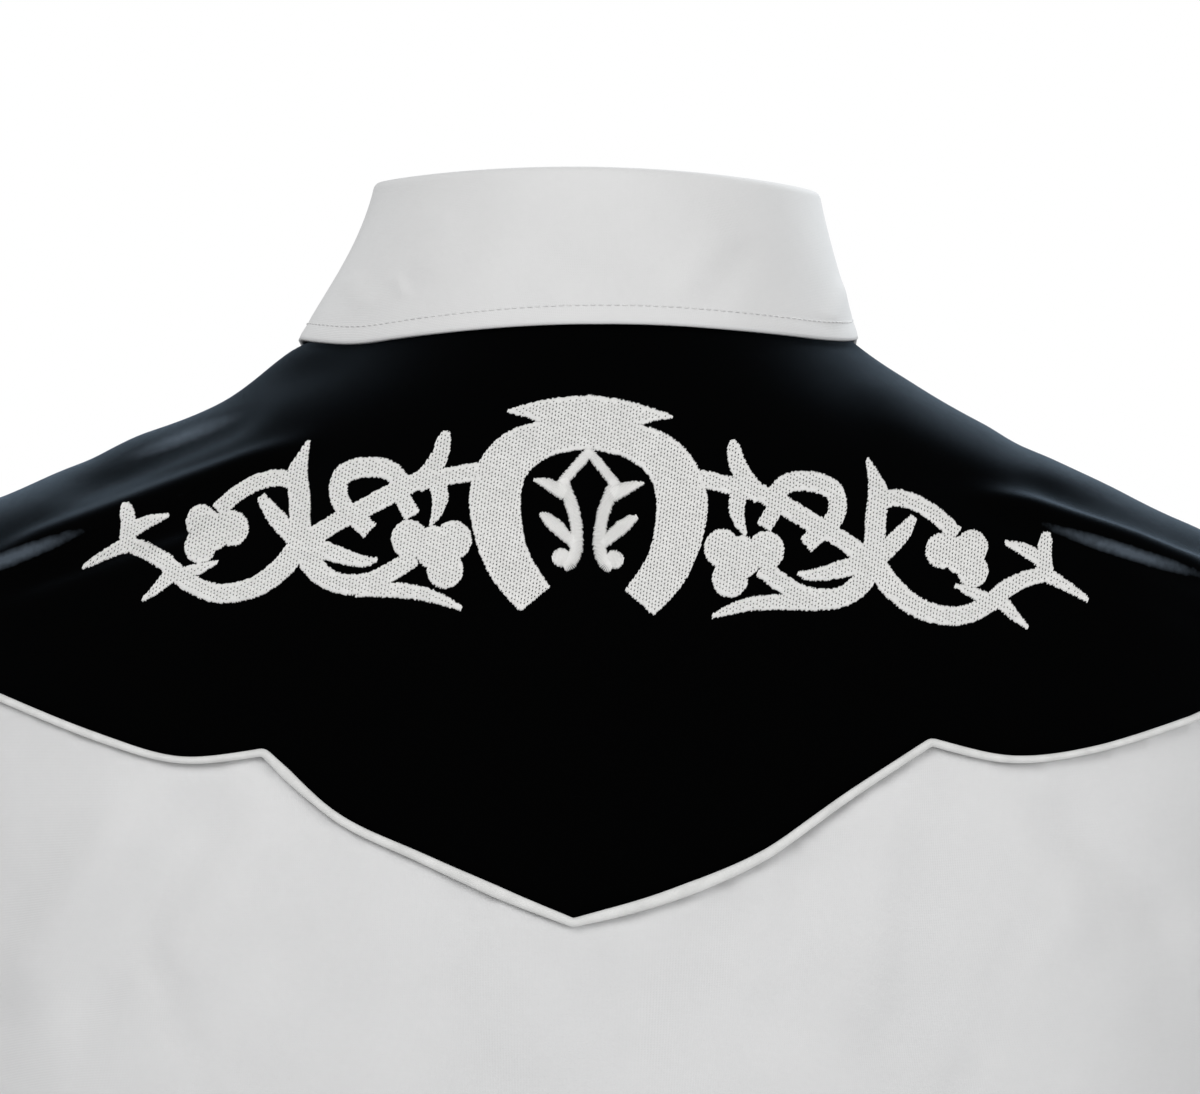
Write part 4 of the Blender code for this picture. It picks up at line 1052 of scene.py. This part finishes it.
def make_buttons():
    """The buttons, all from one mesh, and the threads that hold them."""
    mesh = button_mesh()
    reach, top = BUTTON_HOLE_OFFSET, BUTTON_THICKNESS / 2 - BUTTON_HOLLOW
    arch = ((-reach, -top), (-reach * 0.9, top + 0.00025), (0.0, top + 0.00035), (reach * 0.9, top + 0.00025),
            (reach, -top))
    runs, ups = [], []
    for name, place, normal in button_places():
        button = new_piece(f"{name}_pearl", mesh.copy(), PEARL, name)
        turn = Vector(normal).to_track_quat("Z", "Y").to_matrix()
        centre = Vector(place + normal * (LAYER_GAP + BUTTON_THICKNESS / 2))
        button.matrix_world = Matrix.Translation(centre) @ turn.to_4x4()
        for y in (-reach, reach):
            for shift in (-BUTTON_THREAD, BUTTON_THREAD):
                runs.append([np.array(centre + turn @ Vector((x, y + shift, z))) for x, z in arch])
                ups.append([normal])
    tubes("button_threads", np.array(runs), np.array(ups), BUTTON_THREAD, BUTTON_THREAD, 6, SEWING_THREAD)


def body_run(places, side=1.0):
    """A line of topstitching on the body, along places on its left half; side -1 puts it on the right."""
    places = places if side > 0 else mirrored(places)
    return stitches(body_point(*places.T), body_normal(*places.T))


def sew_body():
    """Topstitching round the armholes, above the yoke's front seams, down the placket and along the hem."""
    holes, fronts = [], []
    centre = np.array((0.0, ARMHOLE_MIDDLE))
    for _, side in SIDES:
        for start, end, count in ARMHOLE_RUNS:
            places = centre + (armhole_place(steps(start, end, count)) - centre) * (1.0 + ARMHOLE_STITCHING)
            holes.append(body_run(places, side))
        fronts.append(body_run(front_seam(6)[2:-2] + (0.0, YOKE_STITCHING), side))
    sew("armhole_stitching", holes, SEWING_THREAD)
    sew("yoke_front_stitching", fronts, BLACK_THREAD)
    rows = edge_rows(6)[1:-1]
    bands = [body_run(places_of(angle_at_x(x, rows), rows)) for x in (PLACKET_STITCHING, -PLACKET_STITCHING)]
    sew("placket_stitching", bands, FIRM_THREAD)
    hems = [body_run(places_of(steps(2.0, 178.0, 260), HEM_STITCHING))]
    for x, side in ((0.018, 1.0), (0.021, -1.0)):
        hems.append(body_run(places_of(steps(angle_at_x(x, HEM_STITCHING), -2.0, 140), HEM_STITCHING), side))
    sew("hem_stitching", hems, SEWING_THREAD)


def sew_leaf(grid, normals, distance):
    """Topstitching on the collar leaf, inside its outer edge and its two front edges."""
    line, up = (np.array([[np.interp(-TOPSTITCH, -far, column) for column in values.T]
                          for values, far in zip(table, distance)]) for table in (grid, normals))
    up = unit(up)
    first = int(np.argmax(np.linalg.norm(line - line[0], axis=1) > TOPSTITCH))
    last = len(line) - 1 - int(np.argmax(np.linalg.norm(line[::-1] - line[-1], axis=1) > TOPSTITCH))
    runs = [stitches(line[first:last + 1], up[first:last + 1])]
    for index in (first, last):
        inner = distance[index] > TOPSTITCH
        inner[:LEAF_STITCH_START] = False
        runs.append(stitches(grid[index][inner], normals[index][inner]))
    sew("collar_stitching", runs, FIRM_THREAD)


def sew_cuffs():
    """Topstitching near both long edges of each cuff."""
    turns = steps(0.004, 1.0 + CUFF_LAP_TURN - 0.004, 160)
    for name, side in SIDES:
        runs = []
        for fall in (CUFF_STITCHING, CUFF_HEIGHT - CUFF_STITCHING):
            line = cuff_point(turns, np.full(len(turns), fall))
            normals = unit(line - line.mean(axis=0))
            line = line - normals * CUFF_STITCH_DEPTH
            runs.append(stitches(line * (side, 1.0, 1.0), normals * (side, 1.0, 1.0)))
        sew(f"cuff_{name}_stitching", runs, FIRM_THREAD)


# Embroidery, in mm: u towards the wearer's left and v up, from the design's middle on the yoke

EMBROIDERY_X = 3.0
EMBROIDERY_Z = -60.0
EMBROIDERY_RISE = 0.0105
FILL_ANGLE = radians(67.0)
FILL_PITCH = 0.35
FILL_JOIN = 0.15
FILL_SHORTEST = 0.7
NEEDLE_STEP = 3.6
NEEDLE_GAP = 0.20
NEEDLE_ORDER = 3
NEEDLE_WANDER = 0.20
NEEDLE_MARGIN = 1.0
SATIN_PITCH = 0.40
SATIN_WANDER = 0.22
# Stitches shorter than this rise less, down to a least share
FULL_RISE_LENGTH = 2.5
LEAST_RISE = 0.4
RANDOM_SEED = 7
# The threads, in metres
FAR_BEHIND = 0.4
THREAD_SHARES = np.array((0.0, 0.10, 0.90, 1.0))
THREAD_SIDE = 0.00021
THREAD_UP = 0.00017
THREAD_DIP = -0.00005
FILL_LIFT = 0.00024
SATIN_LIFT = 0.00045
# Strokes, as rows of u, v and width
HORSESHOE = (
    (16.2, -26.6, 11.7), (23, -18.3, 13.5), (27, -9.9, 14.6), (29.1, 0.7, 15.8), (28.6, 7.8, 15.6),
    (25.5, 14.6, 14.4), (20, 19.4, 12.7), (11.6, 22.6, 10.2), (-0.8, 24, 8.6),
)
CAP = ((26, 30, 0.4), (20, 30.4, 3.7), (14, 30.4, 6.8), (7, 31.2, 7.6), (-0.8, 31.5, 8.4))
INNER = (
    ((-0.4, 19, 3), (4, 14, 3.1), (8.4, 8.8, 3.2)),
    ((8.3, 10, 3.4), (6.4, 5, 4), (4.6, 0, 3.9), (3.6, -5.5, 3.8), (3.7, -11, 4), (5.4, -15.2, 3.8),
     (7.6, -16.4, 2.6)),
    ((17.3, 9.6, 0.7), (12.4, 8.2, 3.6), (7.4, 5.6, 4.4)),
    ((15.2, -0.6, 1), (12.6, -2.2, 3.6), (9, -5.2, 4.2), (4.6, -9.4, 2.8)),
    ((5.2, -13.4, 1.6), (6.5, -13.6, 4.6), (8.2, -13.8, 5.6), (9.9, -14, 4.6), (11.1, -14.2, 1.8)),
)
VINE = (
    ((34.5, 11.5, 5.2), (40, 10.5, 5), (47, 9, 5), (52, 8, 5.2)),
    ((50, 9.5, 4.5), (60, 4.5, 5.5), (70, -1, 5.5), (80, -6.5, 5.2), (90, -14, 6.5), (95, -20, 6.5),
     (102, -25.5, 6), (110, -28.3, 5.6), (118, -28.3, 5.4), (126, -24.8, 5.4), (132, -20, 5.2),
     (138.5, -17, 4.6), (144.5, -15.6, 4.4)),
    ((88, 18.5, 0.8), (89.8, 13.6, 3.6), (91.2, 8, 6.4), (90.3, 1, 6.6), (89.8, -6, 6.4), (88.5, -13, 6.8),
     (85.5, -19, 6.6), (79, -23.5, 6), (70, -24, 6), (62, -20.5, 5.5), (54, -15, 5.5)),
    ((91.5, 5.5, 4), (97, 6.8, 4.8), (103, 5.5, 4.6), (110, 1.5, 4.6), (116, -4, 4.8)),
    ((89.5, -12.5, 5.5), (94.8, -7.6, 5.4), (99, -3.4, 4.8), (102.6, 1, 2.4)),
    ((127, -24, 4), (121, -21.5, 3), (115.2, -19.3, 0.8)),
    ((130, -24, 4.5), (134.5, -28.5, 2.8), (138.8, -32.2, 0.8)),
    ((143, -15.2, 4.6), (150, -18.5, 3.2), (158.4, -23.5, 1.2)),
    ((144.5, -16, 5.4), (144.2, -9.5, 4.6), (144.9, -5.2, 4.2), (145.3, -3, 2)),
    ((143.6, -11.6, 4.4), (138, -8.4, 3.6), (131.6, -6.2, 1.2)),
    ((57.5, 5.5, 5.5), (62, 10.5, 5.6), (70, 11.3, 5.8), (77, 8.5, 5.8), (78, 2.5, 5.6), (75, -2.5, 5.5)),
    ((74, -2.5, 5.4), (68, -7.8, 5.4)),
    ((58, 2.5, 5), (54.8, -2.8, 5)),
    ((54, 6.5, 5.5), (49.5, 11, 5.6), (46.6, 16, 5.2), (45.4, 20.6, 4.2), (44.6, 23.2, 1.6)),
    ((47.5, 8.5, 5.5), (46.3, 3.5, 5), (47, -1, 3.6), (49.2, -5.3, 0.8)),
    ((88, -12.5, 5), (79, -15, 5), (70, -17, 3.2), (65.5, -16.4, 1)),
    ((72, -25.5, 4.5), (62, -25.3, 4.4), (52, -26, 4), (45, -27.8, 3), (38.8, -30.3, 1)),
)
# The vine's round lobes, as u, v and radius
LOBES = (
    (111.2, -8.9, 5.2), (121, -7.6, 5), (121, -14.8, 5), (117.2, -10.2, 5.6),
    (55.5, -9.8, 5.7), (41.9, -9.5, 5.7), (44.3, -18.6, 5.6), (47.6, -12, 6.4),
)
FLIP = np.array((-1.0, 1.0))


def stroke(rows, fine):
    """Stations of a stroke's middle line, and its two edges."""
    line = catmull_rom(np.array(rows, float), steps(0.0, len(rows) - 1.0, (len(rows) - 1) * fine))
    middle = line[:, :2]
    along = unit(np.gradient(middle, axis=0))
    side = np.stack((-along[:, 1], along[:, 0]), axis=-1) * line[:, 2:] / 2.0
    return middle, middle + side, middle - side


def stroke_quads(rows):
    """A stroke as a row of four-cornered patches."""
    _, left, right = stroke(rows, 7)
    return [np.array((left[i], left[i + 1], right[i + 1], right[i])) for i in range(len(left) - 1)]


def disc(u, v, radius):
    swing = steps(0.0, 2 * pi, 28)[:-1]
    return np.stack((u + radius * np.cos(swing), v + radius * np.sin(swing)), axis=-1)


def flipped(patches):
    return [patch * FLIP for patch in patches]


def fill_spans(patches, along, across):
    """Where lines a pitch apart cross the union of patches: line number, start and end."""
    spans = {}
    for patch in patches:
        s, t = patch @ along, patch @ across
        for line in range(ceil(t.min() / FILL_PITCH), floor(t.max() / FILL_PITCH) + 1):
            at = line * FILL_PITCH
            hits = [s[i - 1] + (s[i] - s[i - 1]) * (at - t[i - 1]) / (t[i] - t[i - 1])
                    for i in range(len(s)) if (t[i - 1] > at) != (t[i] > at)]
            if len(hits) > 1:
                spans.setdefault(line, []).append((min(hits), max(hits)))
    for line in sorted(spans):
        joined = []
        for low, high in sorted(spans[line]):
            if joined and low < joined[-1][1] + FILL_JOIN:
                joined[-1][1] = max(joined[-1][1], high)
            else:
                joined.append([low, high])
        yield from ((line, low, high) for low, high in joined)


def fill_threads(patches, random):
    """Stitches of a fill over the union of patches: start and end in mm, all in one direction."""
    along = np.array((-cos(FILL_ANGLE), sin(FILL_ANGLE)))
    across = np.array((along[1], -along[0]))
    threads = []
    for line, low, high in fill_spans(patches, along, across):
        low += random.uniform(-0.40, 0.15)
        high += random.uniform(-0.15, 0.40)
        if high - low < FILL_SHORTEST:
            continue
        phase = NEEDLE_STEP * (line % NEEDLE_ORDER) / NEEDLE_ORDER
        marks = np.arange(ceil((low - phase) / NEEDLE_STEP), ceil((high - phase) / NEEDLE_STEP)) * NEEDLE_STEP
        marks = marks + phase + random.uniform(-NEEDLE_WANDER, NEEDLE_WANDER, len(marks))
        marks = [mark for mark in marks if low + NEEDLE_MARGIN < mark < high - NEEDLE_MARGIN]
        ends = [low, *marks, high]
        for start, end in zip(ends, ends[1:]):
            start += NEEDLE_GAP if start > low else 0.0
            end -= NEEDLE_GAP if end < high else 0.0
            threads.append([along * at + across * line * FILL_PITCH for at in (start, end)])
    return np.array(threads)


def satin_threads(rows, random):
    """Stitches from edge to edge of a stroke: start and end in mm."""
    middle, *edges = stroke(rows, 40)
    run = run_lengths(middle)
    at = np.arange(SATIN_PITCH / 2.0, run[-1], SATIN_PITCH)
    starts, ends = (np.stack([np.interp(at, run, column) for column in edge.T], axis=-1) for edge in edges)
    wander = random.uniform(-SATIN_WANDER, SATIN_WANDER, (2, len(at), 1)) * unit(ends - starts)
    return np.stack((starts + wander[0], ends + wander[1]), axis=1)


def lay_threads(name, threads, lift, yoke):
    """Lay stitches on the yoke: each is a thin tube whose ends dip into the cloth; short ones lie lower."""
    design = threads[:, :1] + (threads[:, 1:] - threads[:, :1]) * THREAD_SHARES[None, :, None]
    flat = design.reshape(-1, 2)
    x = (EMBROIDERY_X + flat[:, 0]) / 1000.0
    z = (EMBROIDERY_Z + flat[:, 1] + EMBROIDERY_RISE * flat[:, 0]) / 1000.0
    places, normals = [], []
    for px, pz in zip(x, z):
        place, normal, _, _ = yoke.ray_cast(Vector((px, FAR_BEHIND, pz)), Vector((0.0, -1.0, 0.0)))
        places.append(place)
        normals.append(normal if normal.y > 0 else -normal)
    places, normals = (np.array(values).reshape(*design.shape[:2], 3) for values in (places, normals))
    lengths = np.linalg.norm(threads[:, 1] - threads[:, 0], axis=1)
    rise = lift * np.clip(lengths / FULL_RISE_LENGTH, LEAST_RISE, 1.0)
    dip = np.full(len(threads), THREAD_DIP)
    lifts = np.stack((dip, rise, rise, dip), axis=1)[..., None]
    tubes(name, places + normals * lifts, normals, THREAD_SIDE, THREAD_UP, THREAD_SIDES, STITCH_THREAD)


def embroider(yoke):
    """The horseshoe with its inner motif, and a scrolling vine to each side, on the yoke's outer face."""
    mesh = yoke.data
    tree = BVHTree.FromPolygons([vertex.co.copy() for vertex in mesh.vertices],
                                [tuple(face.vertices) for face in mesh.polygons])
    random = np.random.default_rng(RANDOM_SEED)
    half = stroke_quads(HORSESHOE) + stroke_quads(CAP)
    vine = [patch for rows in VINE for patch in stroke_quads(rows)] + [disc(*lobe) for lobe in LOBES]
    lay_threads("embroidery_horseshoe", fill_threads(half + flipped(half), random), FILL_LIFT, tree)
    lay_threads("embroidery_vine_left", fill_threads(vine, random), FILL_LIFT, tree)
    lay_threads("embroidery_vine_right", fill_threads(flipped(vine), random), FILL_LIFT, tree)
    inner = [satin_threads(rows, random) * flip for rows in INNER for flip in (1.0, FLIP)]
    lay_threads("embroidery_centre", np.vstack(inner), SATIN_LIFT, tree)


# Putting it together

def dress():
    """Make every piece of the shirt, and list the size that each piece of cloth was cut to."""
    back = make_back()
    front_left, front_right = make_fronts()
    yoke = make_yoke()
    placket = make_placket()
    stand = make_stand()
    leaf, *leaf_lines = make_leaf()
    sleeves = [make_sleeve(name, side) for name, side in SIDES]
    cuffs = [make_cuff(name, side) for name, side in SIDES]
    make_piping()
    make_buttons()
    sew_body()
    sew_leaf(*leaf_lines)
    sew_cuffs()
    embroider(yoke)
    # The cut's bounding rectangle, how it is held, and what it rests on
    cuts = [
        (yoke, 0.52, 0.37, "draped"), (back, 0.66, 0.70, "hung", yoke),
        (front_left, 0.38, 0.80, "hung", yoke), (front_right, 0.42, 0.80, "hung", yoke),
        (placket, 0.033, 0.76, "laid", front_left),
        (stand, 0.46, 0.034, "stretched", yoke), (leaf, 0.50, 0.085, "folded", stand),
    ]
    cuts += [(sleeve, 0.48, 0.62, "hung", yoke, back) for sleeve in sleeves]
    cuts += [(cuff, 0.28, 0.066, "hung", sleeve) for cuff, sleeve in zip(cuffs, sleeves)]
    for piece, width, length, held, *under in cuts:
        area = min(sum(face.area for face in piece.data.polygons), width * length)
        tuple(under)


# Camera, floor and light

CAMERA_TARGET = np.array((-0.00109, 0.0900, -0.07136))
CAMERA_AZIMUTH = radians(1.5)
CAMERA_HEIGHT = radians(4.8)
CAMERA_ROLL = 0.02236
CAMERA_DISTANCE = 1.6
CAMERA_LENS = 153.0
SURROUND_SHOWN = 1.0
SURROUND_LIGHT = 0.42
COOL_WHITE = (0.90, 0.96, 1.0)


def make_camera():
    """A close view of the upper back from behind, as in the photograph."""
    away = np.array((sin(CAMERA_AZIMUTH) * cos(CAMERA_HEIGHT), cos(CAMERA_AZIMUTH) * cos(CAMERA_HEIGHT),
                     sin(CAMERA_HEIGHT)))
    level = unit(np.cross(-away, np.array((0.0, 0.0, 1.0))))
    above = np.cross(level, -away)
    right = level * cos(CAMERA_ROLL) + above * sin(CAMERA_ROLL)
    up = above * cos(CAMERA_ROLL) - level * sin(CAMERA_ROLL)
    camera = put("camera", bpy.data.cameras.new("camera"))
    camera.data.lens = CAMERA_LENS
    camera.data.sensor_width = 36.0
    camera.data.clip_start = 0.05
    turn = Matrix((right, up, away)).transposed().to_4x4()
    camera.matrix_world = Matrix.Translation(Vector(CAMERA_TARGET + away * CAMERA_DISTANCE)) @ turn
    bpy.context.scene.camera = camera


def area_light(name, place, target, size, power, colour=(1.0, 1.0, 1.0)):
    """A soft rectangular light that looks at a target."""
    light = put(name, bpy.data.lights.new(name, "AREA"))
    light.data.shape = "RECTANGLE"
    light.data.size, light.data.size_y = size
    light.data.energy = power
    light.data.color = colour
    light.location = place
    light.visible_camera = False
    light.rotation_euler = (Vector(target) - Vector(place)).to_track_quat("-Z", "Y").to_euler()


def make_world():
    """A plain white surround that lights the shirt less than it shows."""
    world = bpy.data.worlds.new("studio")
    bpy.context.scene.world = world
    world.use_nodes = True
    path = add_node(world.node_tree, "ShaderNodeLightPath", "Is Camera Ray")
    strength = add_node(world.node_tree, "ShaderNodeMapRange", "Result", To_Min=SURROUND_LIGHT,
                        To_Max=SURROUND_SHOWN, Value=path)
    feed(world.node_tree.nodes["Background"], Strength=strength, Color=(1.0, 1.0, 1.0, 1.0))


def make_studio():
    """A plain pale floor and plain soft light, with more of it from beyond the wearer's right shoulder."""
    made, *_ = finish_with("pale_floor", Roughness=0.9, Specular_IOR_Level=0.2,
                           Base_Color=(0.86, 0.86, 0.86, 1.0))
    bpy.ops.mesh.primitive_circle_add(vertices=96, radius=14.0, fill_type="NGON", location=(0.0, 0.0, -1.35))
    ground = bpy.context.object
    ground.name = "floor"
    ground.data.materials.append(made)
    make_world()
    area_light("key", (1.3, 2.4, 1.9), (0.0, 0.05, -0.1), (1.8, 1.4), 45.5)
    area_light("fill", (-1.9, 2.1, 0.6), (0.0, 0.05, -0.1), (1.6, 1.6), 18.5)
    area_light("rim_right", (-1.1, -1.3, 0.75), (-0.14, 0.05, -0.06), (0.9, 0.7), 27.0, COOL_WHITE)
    area_light("rim_left", (1.2, -1.2, 0.9), (0.12, 0.05, -0.05), (0.9, 0.7), 5.5, COOL_WHITE)


dress()
make_camera()
make_studio()
bpy.context.scene.view_settings.view_transform = "Standard"
